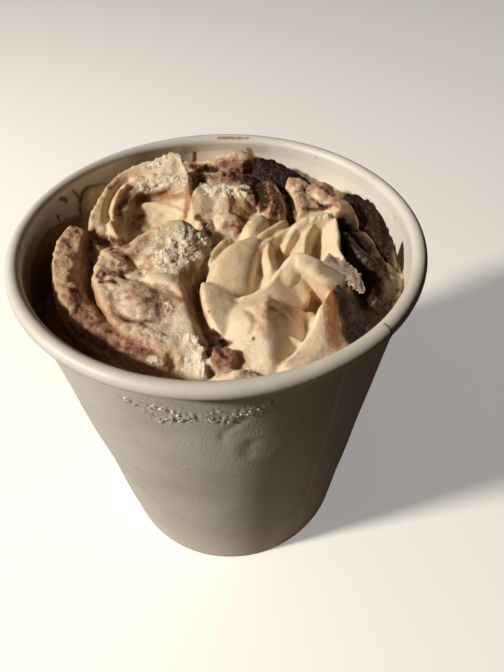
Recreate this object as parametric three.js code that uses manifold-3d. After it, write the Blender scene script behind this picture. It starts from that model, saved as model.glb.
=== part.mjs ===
// A paper cup of gelato: vanilla banked up with a spatula and rippled with dark chocolate.
//
// Millimetres, +Z up. The origin is the centre of the base, on the surface the cup stands on.
// The cup is a wall with a rolled lip and a turned-in foot, and a recessed bottom disc that the
// foot holds. The gelato is one solid with its folds joined to it. The thick dark chocolate
// stands in it as pieces of its own, and each piece keeps a hairline gap to its neighbours.

import * as THREE from "three";
import { mergeVertices } from "three/addons/utils/BufferGeometryUtils.js";
import Module from "manifold-3d";

const wasm = await Module();
wasm.setup();

// ---- Driving dimensions -----------------------------------------------------------------

const CUP_HEIGHT = 106;
const RIM_RADIUS = 48; // outside of the rolled lip
const BASE_RADIUS = 38; // outside of the foot
const BOARD = 0.5; // thickness of the paperboard
const GAP = 0.3; // hairline between neighbouring pieces
const FACETS = 60; // flats round the cup

const LIP_TUBE = 1.75; // outside radius of the roll
const LIP_CENTRE = RIM_RADIUS - LIP_TUBE;
const LIP_CENTRE_Z = CUP_HEIGHT - LIP_TUBE;
const LIP_END_ANGLE = -110; // degrees; the roll stops short of the wall
const NECK_DROP = 4.5; // the wall turns in towards the roll this far below the rim
const NECK_RADIUS = 45.5; // outside of the wall there

const FOOT_HEIGHT = 6.5; // top of the turned-in board
const FOOT_CHANNEL = 1.1; // slot in the foot that holds the disc's skirt
const BOTTOM_Z = 7; // underside of the recessed disc

const SEAM_AZIMUTH = -49.5; // degrees; the lap of the wall's two edges
const SEAM_WIDTH = 8;
const SEAM_STEP = 0.4; // how far the lap stands proud of the wall

const BED_DEPTH = 9; // the gelato between its folds, below the rim
const FOLD_ROOT = 14; // how far a fold's foot reaches down from its crest
const FACET = 4; // longest facet along a fold

// ---- Small helpers ----------------------------------------------------------------------

const radians = THREE.MathUtils.degToRad;
const NECK_Z = CUP_HEIGHT - NECK_DROP;
const WALL_SLOPE = (NECK_RADIUS - BASE_RADIUS) / NECK_Z;
const wallOutside = (z) => BASE_RADIUS + WALL_SLOPE * z;
const wallInside = (z) => wallOutside(z) - BOARD;

// The points of an arc in the half plane (radius, height), angles in degrees.
function arc(x, z, r, from, to, steps) {
  const points = [];
  for (let i = 0; i <= steps; i++) {
    const a = radians(from + ((to - from) * i) / steps);
    points.push([x + r * Math.cos(a), z + r * Math.sin(a)]);
  }
  return points;
}

// A profile of (radius, height) points turned round the Z axis.
function turned(profile, facets = FACETS) {
  const points = profile.map(([x, z]) => new THREE.Vector2(x, z));
  return new THREE.LatheGeometry(points, facets).rotateX(Math.PI / 2);
}

// A three.js geometry as a closed solid, whichever way its faces were wound.
function solidOf(geometry) {
  geometry.deleteAttribute("normal");
  geometry.deleteAttribute("uv");
  const merged = mergeVertices(geometry, 1e-4);
  const build = (triVerts) =>
    new wasm.Manifold(
      new wasm.Mesh({
        numProp: 3,
        vertProperties: Float32Array.from(merged.attributes.position.array),
        triVerts,
      }),
    );
  const triVerts = Uint32Array.from(merged.index.array);
  const made = build(triVerts);
  return made.volume() > 0 ? made : build(triVerts.reverse());
}

function geometryOf(solid) {
  const mesh = solid.getMesh();
  const geometry = new THREE.BufferGeometry();
  geometry.setAttribute("position", new THREE.BufferAttribute(mesh.vertProperties, 3));
  geometry.setIndex(new THREE.BufferAttribute(mesh.triVerts, 1));
  geometry.computeVertexNormals();
  return geometry;
}

const joined = (solids) => solids.reduce((all, next) => all.add(next));

// Seeded numbers from -1 to 1, so that every build gives the same crags.
function seeded(seed) {
  let state = seed;
  return () => {
    state = (state * 1664525 + 1013904223) % 4294967296;
    return (state / 4294967296) * 2 - 1;
  };
}

// ---- The paper cup ----------------------------------------------------------------------

function cupWall() {
  const lipOuter = (from, to, steps) =>
    arc(LIP_CENTRE, LIP_CENTRE_Z, LIP_TUBE, from, to, steps);
  const lipInner = (from, to, steps) =>
    arc(LIP_CENTRE, LIP_CENTRE_Z, LIP_TUBE - BOARD, from, to, steps);
  const half = BOARD + FOOT_CHANNEL / 2;
  const middle = wallOutside(half) - half;
  const slot = FOOT_CHANNEL / 2;
  const legTop = wallInside(FOOT_HEIGHT) - FOOT_CHANNEL;
  const profile = [
    [middle - half, 0.6],
    [middle - half + 0.6, 0],
    [middle + half - 0.6, 0],
    [middle + half, 0.6],
    [NECK_RADIUS, NECK_Z],
    ...lipInner(180, LIP_END_ANGLE, 6),
    ...lipOuter(LIP_END_ANGLE, 180, 7),
    [NECK_RADIUS - BOARD, NECK_Z],
    [middle + slot, 2 * BOARD],
    [middle + slot / 2, BOARD],
    [middle - slot / 2, BOARD],
    [middle - slot, 2 * BOARD],
    [legTop, FOOT_HEIGHT],
    [legTop - BOARD, FOOT_HEIGHT],
  ];
  profile.push(profile[0]);
  return solidOf(turned(profile)).add(seamLap());
}

// The wall's outer edge laps over its start and stands one board proud.
function seamLap() {
  const low = 2;
  const high = NECK_Z - 1;
  const turn = SEAM_WIDTH / NECK_RADIUS;
  const start = Math.PI / 2 + radians(SEAM_AZIMUTH) - turn / 2;
  const profile = [
    new THREE.Vector2(wallInside(low) + 0.1, low),
    new THREE.Vector2(wallOutside(low) + SEAM_STEP, low),
    new THREE.Vector2(wallOutside(high) + SEAM_STEP, high),
    new THREE.Vector2(wallInside(high) + 0.1, high),
  ];
  const steps = 2;
  const positions = [];
  for (let i = 0; i <= steps; i++)
    for (const p of profile) {
      const a = start + (turn * i) / steps;
      positions.push(p.x * Math.sin(a), -p.x * Math.cos(a), p.y);
    }
  const index = [0, 1, 2, 0, 2, 3];
  for (let i = 0; i < steps; i++)
    for (let j = 0; j < 4; j++) {
      const a = i * 4 + j;
      const b = i * 4 + ((j + 1) % 4);
      index.push(a, a + 4, b, b, a + 4, b + 4);
    }
  const last = steps * 4;
  index.push(last, last + 2, last + 1, last, last + 3, last + 2);
  const geometry = new THREE.BufferGeometry();
  geometry.setAttribute("position", new THREE.Float32BufferAttribute(positions, 3));
  geometry.setIndex(index);
  return solidOf(geometry);
}

// A flat disc whose skirt is turned down into the slot of the foot.
function cupBottom() {
  const edge = (z) => wallInside(z) - GAP;
  const skirtFoot = BOARD + 2 * GAP;
  return solidOf(
    turned([
      [0, BOTTOM_Z],
      [edge(BOTTOM_Z) - BOARD, BOTTOM_Z],
      [edge(skirtFoot) - BOARD, skirtFoot],
      [edge(skirtFoot), skirtFoot],
      [edge(BOTTOM_Z + BOARD), BOTTOM_Z + BOARD],
      [0, BOTTOM_Z + BOARD],
    ]),
  );
}

// ---- Shapes of gelato -------------------------------------------------------------------

// A smooth line through points whose height is measured down from the rim.
function crestLine(points) {
  const line = points.map(([x, y, z]) => new THREE.Vector3(x, y, CUP_HEIGHT + z));
  return new THREE.CatmullRomCurve3(line, false, "centripetal");
}

// A fold is a bank pushed up by the spatula. Looking along its crest, its flanks fall away on
// the `left` and the `right`, each as [width, drop, round]. A `round` of 2 makes a domed flank, 1
// a straight one, and less than 1 a hollow one under a thin edge. `ends` are the lengths over
// which the start and the end taper off, `under` how far the right flank is undercut, `rough`
// the height of its crags, `seed` where their numbers start and `grow` a clearance all round.
function fold(crest, { left, right, ends = [3, 3], under = 0, rough = 0, seed = 1, grow = 0 }) {
  const line = crestLine(crest);
  const length = line.getLength();
  const rings = Math.max(3, Math.round(length / FACET) + 1);
  const random = seeded(seed);
  const positions = [];
  const index = [];
  const stepsOf = ([width]) => (width > 2.5 ? 4 : 2);
  const flank = ([width, drop, round], part, swell) => {
    const angle = (part * Math.PI) / 2;
    return [
      width * swell * Math.sin(angle) ** (2 / round) + grow * part,
      -drop * (1 - Math.cos(angle) ** (2 / round)) + grow * (1 - part),
    ];
  };
  for (let i = 0; i <= rings; i++) {
    const t = i / rings;
    const fromStart = Math.min(1, 0.12 + (t * length) / ends[0]);
    const fromEnd = Math.min(1, 0.12 + ((1 - t) * length) / ends[1]);
    const swell = Math.sqrt(1 - (1 - Math.min(fromStart, fromEnd)) ** 2);
    const at = line.getPointAt(t);
    const along = line.getTangentAt(t);
    const heading = new THREE.Vector3(along.x, along.y, 0).normalize();
    const side = new THREE.Vector3(-heading.y, heading.x, 0);
    const sag = (1 - swell) * 0.6 * Math.min(left[1], right[1]);
    const section = [];
    for (let j = stepsOf(left); j >= 0; j--) section.push(flank(left, j / stepsOf(left), swell));
    for (let j = 1; j <= stepsOf(right); j++) {
      const [u, w] = flank(right, j / stepsOf(right), swell);
      section.push([-u, w]);
    }
    const top = section.length;
    const foot = -FOLD_ROOT - grow;
    section.push([section[top - 1][0] + under * swell, foot], [section[0][0], foot]);
    section.forEach(([u, w], j) => {
      const crag = j < top ? rough : 0;
      const p = at.clone().addScaledVector(side, u + 0.6 * crag * random());
      p.addScaledVector(heading, i === 0 ? -grow : i === rings ? grow : 0);
      positions.push(p.x, p.y, p.z + w + crag * random() - (j < top ? sag : 0));
    });
  }
  const ring = stepsOf(left) + stepsOf(right) + 3;
  for (let i = 0; i < rings; i++)
    for (let j = 0; j < ring; j++) {
      const a = i * ring + j;
      const b = i * ring + ((j + 1) % ring);
      index.push(a, b, a + ring, b, b + ring, a + ring);
    }
  const last = rings * ring;
  for (let j = 0; j < ring - 1; j++) {
    index.push(ring - 1, j + 1, j);
    index.push(last + ring - 1, last + j, last + j + 1);
  }
  const geometry = new THREE.BufferGeometry();
  geometry.setAttribute("position", new THREE.Float32BufferAttribute(positions, 3));
  geometry.setIndex(index);
  return solidOf(geometry);
}

// A lump is a rounded scoop. `at` is the middle of its top, `size` its half length, half width
// and half height, and `turn` the direction of its length in degrees.
function lump(at, size, { turn = 0, rough = 0, seed = 1 } = {}) {
  const ball = new THREE.IcosahedronGeometry(1, 2);
  ball.deleteAttribute("normal");
  ball.deleteAttribute("uv");
  const geometry = mergeVertices(ball, 1e-4);
  const random = seeded(seed);
  const position = geometry.attributes.position;
  for (let i = 0; i < position.count; i++) {
    const swell = 1 + (rough * random()) / Math.min(...size);
    position.setXYZ(i, position.getX(i) * swell, position.getY(i) * swell, position.getZ(i) * swell);
  }
  const [length, width, height] = size;
  geometry.scale(length, width, height);
  geometry.rotateZ(radians(turn));
  geometry.translate(at[0], at[1], CUP_HEIGHT + at[2] - height);
  return solidOf(geometry);
}

// ---- The gelato -------------------------------------------------------------------------

// Left side: a crescent bank along the wall and the broad folded lobe inside it.
function leftBanks() {
  return [
    fold([[-37, 9.5, -6], [-37, 2.5, -5.5], [-36.5, -5.5, -5.5], [-35, -12, -6], [-32, -19, -6],
      [-28, -23.5, -6.5], [-22.5, -28.5, -7], [-15.5, -32.5, -7], [-8, -35, -7]],
      { left: [3.8, 8, 2.2], right: [3.4, 9, 2.2], rough: 0.35, seed: 2 }),
    fold([[-23, -1.5, -4.5], [-27, -4.5, -5], [-27.5, -10, -5], [-25.5, -16, -5],
      [-21.5, -23, -5], [-17, -28, -5.5], [-11, -31, -6], [-5, -32.5, -6.5]],
      { left: [13, 3, 1.8], right: [2.2, 8, 2], rough: 0.2, seed: 3 }),
    lump([-16.5, -20, -4], [9, 7, 4.5], { turn: 130, rough: 0.15, seed: 4 }),
    fold([[-24.5, -2.5, -5], [-19.5, 2, -4], [-14.5, 5.5, -3], [-8.5, 7.5, -2]],
      { left: [1.6, 7, 1.2], right: [10, 4, 1.5], seed: 5 }),
    fold([[-8, 7.5, -3], [-6.5, 1.5, -4], [-7.5, -4.5, -5], [-9, -11, -5], [-7.5, -18, -5],
      [-5.5, -24, -6], [-3.5, -30, -7]],
      { left: [2.4, 9, 1.8], right: [11, 3, 1.8], rough: 0.2, seed: 6 }),
    lump([-12.5, -2, -3.6], [8, 7.5, 3.5], { rough: 0.5, seed: 7 }),
    fold([[-16, -12, -4.4], [-9, -12, -4.4]],
      { left: [2, 1.5, 1.3], right: [7, 2.5, 1.3], seed: 8 }),
  ];
}

// Far left: petals nested like cups, and a thin leaf smeared up the wall behind them.
function nestedPetals() {
  return [
    fold([[-38.5, 20, -8], [-37, 24, -4.5], [-33.5, 28.5, -5.5], [-29, 32, -7]],
      { left: [2, 4, 1.5], right: [3.5, 6, 1.5], seed: 53 }),
    fold([[-33, 7, -6], [-33.5, 12.5, -5], [-32.5, 19, -4], [-30.5, 26, -3], [-27.5, 30.5, -2.5],
      [-23.5, 33.5, -2], [-17.5, 34, -1], [-14, 35.5, 0], [-11.5, 33, 0]],
      { left: [1.6, 8, 1.4], right: [8, 2.5, 1.2], ends: [2, 2], seed: 9 }),
    fold([[-12.5, 34.5, 0], [-10, 29, -1], [-9, 25, -2], [-8.5, 20.5, -4], [-8.5, 17, -6]],
      { left: [1.4, 7, 1.2], right: [7, 4.5, 1], ends: [2, 2], seed: 10 }),
    fold([[-25.5, 5, -6], [-28, 9.5, -5.5], [-28.5, 14.5, -5], [-28.5, 19, -4], [-27, 24.5, -3],
      [-22.5, 27.5, -2.5], [-17, 28, -2], [-10, 27, -2]],
      { left: [1.4, 2, 1.4], right: [4, 5, 1.3], rough: 0.4, seed: 11 }),
    fold([[-26.5, 19, -8], [-22.5, 20.5, -7.5], [-19, 21, -7], [-14.5, 19.5, -7], [-10, 16.5, -7]],
      { left: [4, 1, 1.4], right: [9, 6, 0.8], seed: 12 }),
    lump([-30.5, 9, -6], [3.4, 3, 6], { turn: 60, seed: 13 }),
    lump([-31, 2.5, -7], [2.4, 2, 4], { rough: 0.3, seed: 14 }),
    lump([-27, 0, -7], [5, 4, 6], { rough: 0.5, seed: 15 }),
  ];
}

// Middle and back: torn chunks and rounded scoops against the wall.
function backScoops() {
  return [
    fold([[-5.5, 27.5, -4], [-7, 22.5, -4], [-8, 18.5, -5], [-8, 15, -7]],
      { left: [7, 3, 1.6], right: [1.4, 6, 1.4], rough: 0.4, seed: 16 }),
    fold([[-5.5, 23.5, -4], [-1, 24, -3.5], [5, 22.5, -4], [8.5, 19, -6]],
      { left: [4, 3, 1.6], right: [8, 5, 1.3], rough: 0.6, seed: 17 }),
    lump([1.5, 13.5, -6], [5, 4, 5], { turn: -30, rough: 0.4, seed: 18 }),
    lump([-4.5, 12.5, -7], [3.6, 3, 4], { rough: 0.5, seed: 55 }),
    fold([[-6, 36.5, -5], [-1, 38, -3.5], [4.5, 38, -2.5], [8.5, 36, -3.5]],
      { left: [4.5, 4, 1.7], right: [4.5, 4, 1.7], rough: 0.5, seed: 20 }),
    fold([[-9, 32, -4.5], [-4, 31, -4], [3, 31.5, -4.5], [10, 29.5, -5]],
      { left: [4, 3, 1.8], right: [4, 4, 1.8], rough: 0.5, seed: 21 }),
    lump([6.5, 25.5, -5], [3.6, 4.4, 4], { rough: 0.3, seed: 19 }),
    fold([[11.5, 30, -5], [13, 24, -4.5], [13.5, 17.5, -5.5], [12.5, 12.5, -7]],
      { left: [3.8, 5, 1.9], right: [4.2, 5, 1.9], rough: 0.4, seed: 23 }),
    fold([[18.5, 31, -4.5], [20.8, 24, -4.3], [21.5, 16, -5]],
      { left: [5, 4, 1.9], right: [2.8, 6, 1.9], rough: 0.25, seed: 25 }),
    lump([26.5, 22, -3.4], [5.2, 7, 6], { turn: -20, rough: 0.3, seed: 26 }),
    fold([[28.5, 22, -4], [32.5, 15, -4], [33, 9, -4.5]],
      { left: [3, 5, 1.8], right: [5, 4, 1.8], seed: 27 }),
  ];
}

// Right side: smooth shell-like folds that sweep up to a hooked crest.
function shellFolds() {
  return [
    fold([[9, 3.5, -4], [5, -2.5, -4.3], [3, -8, -4.8], [2.3, -12.5, -6], [2.5, -16, -7.5]],
      { left: [5.8, 6, 2.8], right: [5.8, 7, 2.8], ends: [16, 5], seed: 28 }),
    fold([[2, 5, -6], [-1, 1, -7], [-2.5, -5, -7]],
      { left: [2.4, 4, 1.6], right: [2, 5, 1.6], seed: 29 }),
    fold([[-3.5, -12, -5.8], [-2.5, -18, -6], [-1, -23, -7], [1.5, -27, -8]],
      { left: [7.5, 2.5, 1.5], right: [1.8, 9, 1.6], seed: 30 }),
    fold([[12.3, 2.5, -5], [11.5, -4, -4.8], [12.2, -9.5, -5.5], [10.5, -14, -7]],
      { left: [2.4, 4, 1.4], right: [1.8, 4, 1.4], ends: [9, 4], seed: 31 }),
    fold([[14, 4, -5], [11, 1.5, -5.5], [9.5, -2, -6]],
      { left: [1.5, 3, 1.6], right: [1.2, 3, 1.6], seed: 32 }),
    fold([[2, -17, -7.5], [8, -16, -6.5], [12, -14, -5], [15, -10, -3.5], [18.5, -7.5, -2.3]],
      { left: [2.2, 5, 1.3], right: [7, 7, 1], ends: [6, 2], seed: 54 }),
    fold([[13, -12.5, -5], [15, -10, -3.5], [17.5, -7.5, -2], [21, -8.5, -2], [25, -11.5, -2.5],
      [29, -14.5, -3], [32.5, -17, -4]],
      { left: [2.4, 5, 1.3], right: [3.4, 2.4, 1.5], ends: [3, 1.5], under: 2.6, seed: 33 }),
    fold([[11.5, -15, -7], [10.8, -21, -5.3], [10.8, -28, -6.2], [11.5, -36.5, -8]],
      { left: [9, 7, 1.1], right: [11, 4.5, 1.3], ends: [8, 3], rough: 0.15, seed: 34 }),
    fold([[14.5, -26.5, -8.5], [18.5, -27.5, -9.5]],
      { left: [1.2, 2, 1.4], right: [1.5, 2, 1.4], ends: [1.5, 1.5], seed: 35 }),
    fold([[27, -12, -5], [24.5, -17, -5], [22.5, -21.5, -5.5], [20.5, -26.5, -6.5],
      [17, -31.5, -7.5], [12.5, -36.5, -8]],
      { left: [11, 7, 1.5], right: [1.6, 8, 1.4], ends: [7, 3], seed: 36 }),
    lump([30.5, -15.3, -2.8], [3, 2.2, 3], { turn: -30, rough: 0.6, seed: 56 }),
  ];
}

// Right of the middle: the pillars under the crest, and thin folds beside them.
function crestFolds() {
  return [
    fold([[28.5, 8, -2], [28.5, 1, -2.5], [28, -4, -3], [29.5, -9, -3.5]],
      { left: [1.6, 8, 1.4], right: [4.5, 6, 1.1], ends: [2, 2], seed: 37 }),
    fold([[23.5, 6.5, -3], [21.5, 3, -4], [20.5, -1.5, -4], [20, -5.5, -4.5]],
      { left: [2, 5, 1.2], right: [2.8, 4, 1.2], ends: [2, 2], seed: 38 }),
    fold([[17.5, 5, -4], [21.5, 7.5, -3], [28.5, 9, -2]],
      { left: [2.4, 4, 1.8], right: [3, 5, 1.6], rough: 0.3, seed: 39 }),
    fold([[19.5, 6, -4], [17.5, 3, -4.5], [15.5, -0.5, -6]],
      { left: [1.6, 3, 1.4], right: [1.8, 3, 1.4], ends: [2, 3], seed: 40 }),
    fold([[11.5, 13, -5], [8.5, 9.5, -5], [7, 5.5, -6.5]],
      { left: [3, 4, 1.8], right: [3, 4, 1.8], seed: 41 }),
    fold([[17, 11, -5], [12.5, 6.5, -5], [9, 3, -5.2]],
      { left: [1.8, 3, 1.5], right: [1.8, 3, 1.5], seed: 42 }),
    fold([[18.5, 8, -5], [14.5, 4.5, -5.5], [13, 1, -6.5]],
      { left: [1.6, 3, 1.5], right: [1.6, 3, 1.5], seed: 43 }),
    lump([-4.5, -36, -6.2], [3.6, 4, 6], { rough: 0.6, seed: 44 }),
    lump([2.5, -34.5, -7], [4.4, 3.6, 6], { rough: 0.6, seed: 45 }),
    lump([5, -38, -7.2], [6, 2.6, 5], { rough: 0.4, seed: 46 }),
    fold([[30.5, 5, -4], [31.5, 0.5, -5], [36, -5, -6], [37, -11, -7], [35.5, -18, -8]],
      { left: [3, 4, 1.6], right: [2.6, 4, 1.6], rough: 0.3, seed: 52 }),
    lump([40.5, -7, -8], [3.2, 9, 8], { rough: 0.3, seed: 47 }),
    lump([33.5, -21, -9], [5, 8, 6], { turn: 20, rough: 0.4, seed: 48 }),
  ];
}

// The thick chocolate: a broad slab, a glossy lump at the back and a splinter at the wall.
function chocolateSlab(grow = 0) {
  return fold([[31, 18.5, -2], [34.5, 17.5, -2], [38, 14.5, -2.5], [39.7, 10.5, -3],
    [40, 5, -3.5], [39.6, 1, -5], [38.6, -4, -7]],
    { left: [1.2, 9, 1.6], right: [8.5, 7, 1.4], rough: 0.3, seed: 49, grow });
}

function chocolateLump(grow = 0) {
  return fold([[9.5, 37.5, -3], [13.5, 35.5, -3], [17.5, 33.5, -4], [22, 31.5, -6]],
    { left: [2, 5, 1.8], right: [6, 5, 1.8], rough: 0.4, seed: 50, grow });
}

function chocolateSplinter(grow = 0) {
  return fold([[41.9, 0.5, -1], [42.3, -2.5, -3.5], [42.8, -6, -7]],
    { left: [0.8, 4, 1.2], right: [0.9, 4, 1.2], ends: [1.5, 1.5], seed: 51, grow });
}

// The room inside the cup that the contents fill, a hairline clear of the paper.
function inside() {
  const floor = BOTTOM_Z + BOARD + GAP;
  const high = CUP_HEIGHT + 12;
  return solidOf(
    turned([
      [0, floor],
      [wallInside(floor) - GAP, floor],
      [NECK_RADIUS - BOARD - GAP, NECK_Z],
      [LIP_CENTRE - LIP_TUBE - GAP, LIP_CENTRE_Z],
      [LIP_CENTRE - LIP_TUBE - GAP, high],
      [0, high],
    ]),
  );
}

// Furrows that the spatula left deeper than the bed: [path], width, depth below the bed.
const furrows = [
  [[[-31, 2], [-32, -6], [-30, -14], [-25, -21], [-18, -28]], 2.5, 6],
  [[[-4, 2], [-3.5, -6], [-4, -14], [-2.5, -22], [0, -29]], 3, 8],
  [[[17.5, 12], [17, 18], [18, 24]], 2.5, 5],
  [[[20, -14], [23.5, -13], [24.5, -16]], 3, 6],
  [[[20, -20], [17.5, -28], [14, -34]], 2, 3],
  [[[33, 4], [33, -3], [33, -12]], 2.5, 5],
  [[[-22, 13], [-16, 12], [-11, 11]], 4, 2],
];

// How high the gelato stands at the wall, by azimuth: [degrees, height from the rim].
const wallLevels = [[-180, -17], [-150, -16], [-110, -11], [-60, -10], [-10, -10], [11, -13],
  [35, -9], [80, -7], [141, -7], [160, -13], [180, -17]];

function wallLevel(azimuth) {
  const next = wallLevels.findIndex(([a]) => azimuth <= a);
  const [a1, z1] = wallLevels[Math.max(0, next - 1)];
  const [a2, z2] = wallLevels[Math.max(1, next)];
  return z1 + (z2 - z1) * THREE.MathUtils.smoothstep(azimuth, a1, a2);
}

function distanceTo(path, x, y) {
  let nearest = Infinity;
  for (let i = 1; i < path.length; i++) {
    const [x1, y1] = path[i - 1];
    const [dx, dy] = [path[i][0] - x1, path[i][1] - y1];
    const t = THREE.MathUtils.clamp(((x - x1) * dx + (y - y1) * dy) / (dx * dx + dy * dy), 0, 1);
    nearest = Math.min(nearest, Math.hypot(x - x1 - t * dx, y - y1 - t * dy));
  }
  return nearest;
}

// The packed gelato under the folds, wider than the cup so that the cup's inside trims it.
function bed() {
  const sectors = 40;
  const rings = 14;
  const reach = 50;
  const rise = (x, y) => {
    const r = Math.hypot(x, y);
    const atWall = THREE.MathUtils.smoothstep(r, 28, 43);
    const level = wallLevel(THREE.MathUtils.radToDeg(Math.atan2(y, x)));
    const wave = 0.5 * Math.sin(x / 3.1) * Math.cos(y / 3.7);
    let z = CUP_HEIGHT - BED_DEPTH + wave + atWall * (level + BED_DEPTH);
    for (const [path, width, depth] of furrows)
      z -= depth * Math.exp(-((distanceTo(path, x, y) / width) ** 2));
    return z;
  };
  const positions = [0, 0, rise(0, 0), 0, 0, 0];
  const index = [];
  const vertex = (ring, sector) => 2 + (ring - 1) * sectors + (sector % sectors);
  for (let i = 1; i <= rings + 1; i++)
    for (let j = 0; j < sectors; j++) {
      const a = (2 * Math.PI * j) / sectors;
      const r = (reach * Math.min(i, rings)) / rings;
      const [x, y] = [r * Math.cos(a), r * Math.sin(a)];
      positions.push(x, y, i > rings ? 0 : rise(x, y));
    }
  for (let j = 0; j < sectors; j++) {
    index.push(0, vertex(1, j), vertex(1, j + 1), 1, vertex(rings + 1, j + 1), vertex(rings + 1, j));
    for (let i = 1; i <= rings; i++) {
      index.push(vertex(i, j), vertex(i + 1, j), vertex(i + 1, j + 1));
      index.push(vertex(i, j), vertex(i + 1, j + 1), vertex(i, j + 1));
    }
  }
  const geometry = new THREE.BufferGeometry();
  geometry.setAttribute("position", new THREE.Float32BufferAttribute(positions, 3));
  geometry.setIndex(index);
  return solidOf(geometry);
}

// A cut can leave loose scraps: only the shell with the most triangles is kept.
function mainShell(geometry) {
  const index = geometry.index.array;
  const parent = Array.from({ length: geometry.attributes.position.count }, (_, i) => i);
  const root = (i) => {
    while (parent[i] !== i) i = parent[i] = parent[parent[i]];
    return i;
  };
  for (let i = 0; i < index.length; i += 3) {
    parent[root(index[i + 1])] = root(index[i]);
    parent[root(index[i + 2])] = root(index[i]);
  }
  const shells = new Map();
  for (let i = 0; i < index.length; i += 3) {
    const key = root(index[i]);
    if (!shells.has(key)) shells.set(key, []);
    shells.get(key).push(index[i], index[i + 1], index[i + 2]);
  }
  const main = [...shells.values()].sort((a, b) => b.length - a.length)[0];
  const kept = geometry.clone().setIndex(main).toNonIndexed();
  kept.deleteAttribute("normal");
  const merged = mergeVertices(kept, 1e-6);
  merged.computeVertexNormals();
  return merged;
}

// ---- The object -------------------------------------------------------------------------

const finishes = {
  paper: { color: 0xd9d3c6, roughness: 0.75, metalness: 0 },
  vanilla: { color: 0xe6c896, roughness: 0.5, metalness: 0 },
  chocolate: { color: 0x2e1a10, roughness: 0.35, metalness: 0 },
};

function piece(name, solid, finish) {
  const material = new THREE.MeshStandardMaterial(finishes[finish]);
  const mesh = new THREE.Mesh(mainShell(geometryOf(solid)), material);
  mesh.name = name;
  return mesh;
}

const cup = new THREE.Group();
cup.add(piece("cup_wall", cupWall(), "paper"), piece("cup_bottom", cupBottom(), "paper"));

const room = inside();
const banks = [...leftBanks(), ...nestedPetals(), ...backScoops(), ...shellFolds(), ...crestFolds()];
const contents = new THREE.Group();
contents.add(
  piece("chocolate_splinter", chocolateSplinter().intersect(room), "chocolate"),
  piece("chocolate_slab", chocolateSlab().subtract(chocolateSplinter(GAP)).intersect(room), "chocolate"),
  piece("chocolate_lump", chocolateLump().intersect(room), "chocolate"),
);
const gelato = [chocolateSplinter, chocolateSlab, chocolateLump].reduce(
  (rest, make) => rest.subtract(make(GAP)),
  joined([bed(), ...banks]),
);
contents.add(piece("gelato", gelato.intersect(room), "vanilla"));

const gelatoCup = new THREE.Group();
gelatoCup.add(cup, contents);

export default gelatoCup;
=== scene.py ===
import math
import random

import bpy
import numpy as np
from mathutils import Matrix, Vector, noise


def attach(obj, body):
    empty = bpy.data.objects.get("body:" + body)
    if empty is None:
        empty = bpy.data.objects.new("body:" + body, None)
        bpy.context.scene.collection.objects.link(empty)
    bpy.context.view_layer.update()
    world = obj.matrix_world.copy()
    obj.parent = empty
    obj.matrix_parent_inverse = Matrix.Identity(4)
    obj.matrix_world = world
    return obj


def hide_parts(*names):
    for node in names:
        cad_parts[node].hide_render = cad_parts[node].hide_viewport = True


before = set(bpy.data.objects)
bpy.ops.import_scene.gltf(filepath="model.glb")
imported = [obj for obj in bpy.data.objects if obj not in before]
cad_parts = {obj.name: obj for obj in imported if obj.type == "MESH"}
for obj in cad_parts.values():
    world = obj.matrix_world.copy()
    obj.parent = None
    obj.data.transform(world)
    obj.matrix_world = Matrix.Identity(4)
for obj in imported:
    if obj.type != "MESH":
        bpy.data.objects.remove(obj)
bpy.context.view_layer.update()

# ---- The camera -------------------------------------------------------------------------
# It stands in front of the cup and looks down into it, steeply enough to see the gelato and
# the whole front of the wall.

EYE = Vector((0.00774, -0.09883, 0.17505))
PITCH = 0.82417  # radians below the horizon
ROLL = -0.00745
LENS = 27.054  # for a sensor 36 mm high

ahead = Vector((0, math.cos(PITCH), -math.sin(PITCH)))
overhead = Vector((0, math.sin(PITCH), math.cos(PITCH)))
sideways = math.cos(ROLL) * Vector((1, 0, 0)) + math.sin(ROLL) * overhead
upright = math.cos(ROLL) * overhead - math.sin(ROLL) * Vector((1, 0, 0))

eye = bpy.data.objects.new("eye", bpy.data.cameras.new("eye"))
eye.data.sensor_fit = "VERTICAL"
eye.data.sensor_height = 36
eye.data.lens = LENS
eye.data.clip_start = 0.001
eye.matrix_world = Matrix.Translation(EYE) @ Matrix((sideways, upright, -ahead)).transposed().to_4x4()
bpy.context.scene.collection.objects.link(eye)
bpy.context.scene.camera = eye

# ---- The paper cup's wall ---------------------------------------------------------------
# One blank of paperboard, wrapped to a cone and glued along a lap. Its top edge is rolled
# outwards to the rim, and its foot is turned in round the skirt of the bottom disc.

MM = 0.001
CUP_HEIGHT = 106
BASE_RADIUS = 38
BOARD = 0.5
NECK_Z = 101.5  # above it the wall turns in towards the roll
NECK_RADIUS = 45.5
ROLL_CENTRE = (46.2, 104.25)
ROLL_TUBE = 1.735
ROLL_END = -110  # degrees; the roll stops short of the wall
FOOT_CHANNEL = 1.1
FOOT_HEIGHT = 6.5
SECTORS = 288
LAP = (35.5, 45.5)  # degrees from the front; the edges of the glued lap
LAP_STEP = 0.2


def wall_outside(z):
    return BASE_RADIUS + (NECK_RADIUS - BASE_RADIUS) * z / NECK_Z


def wall_inside(z):
    return wall_outside(z) - BOARD


def arc(radius, start, end, steps):
    """Points of the roll's section, angles in degrees."""
    x, z = ROLL_CENTRE
    angles = [math.radians(start + (end - start) * i / steps) for i in range(steps + 1)]
    return [(x + radius * math.cos(a), z + radius * math.sin(a)) for a in angles]


def nothing_selected():
    if bpy.context.object and bpy.context.object.mode != "OBJECT":
        bpy.ops.object.mode_set(mode="OBJECT")
    bpy.ops.object.select_all(action="DESELECT")


def only(piece):
    nothing_selected()
    piece.select_set(True)
    bpy.context.view_layer.objects.active = piece


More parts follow.
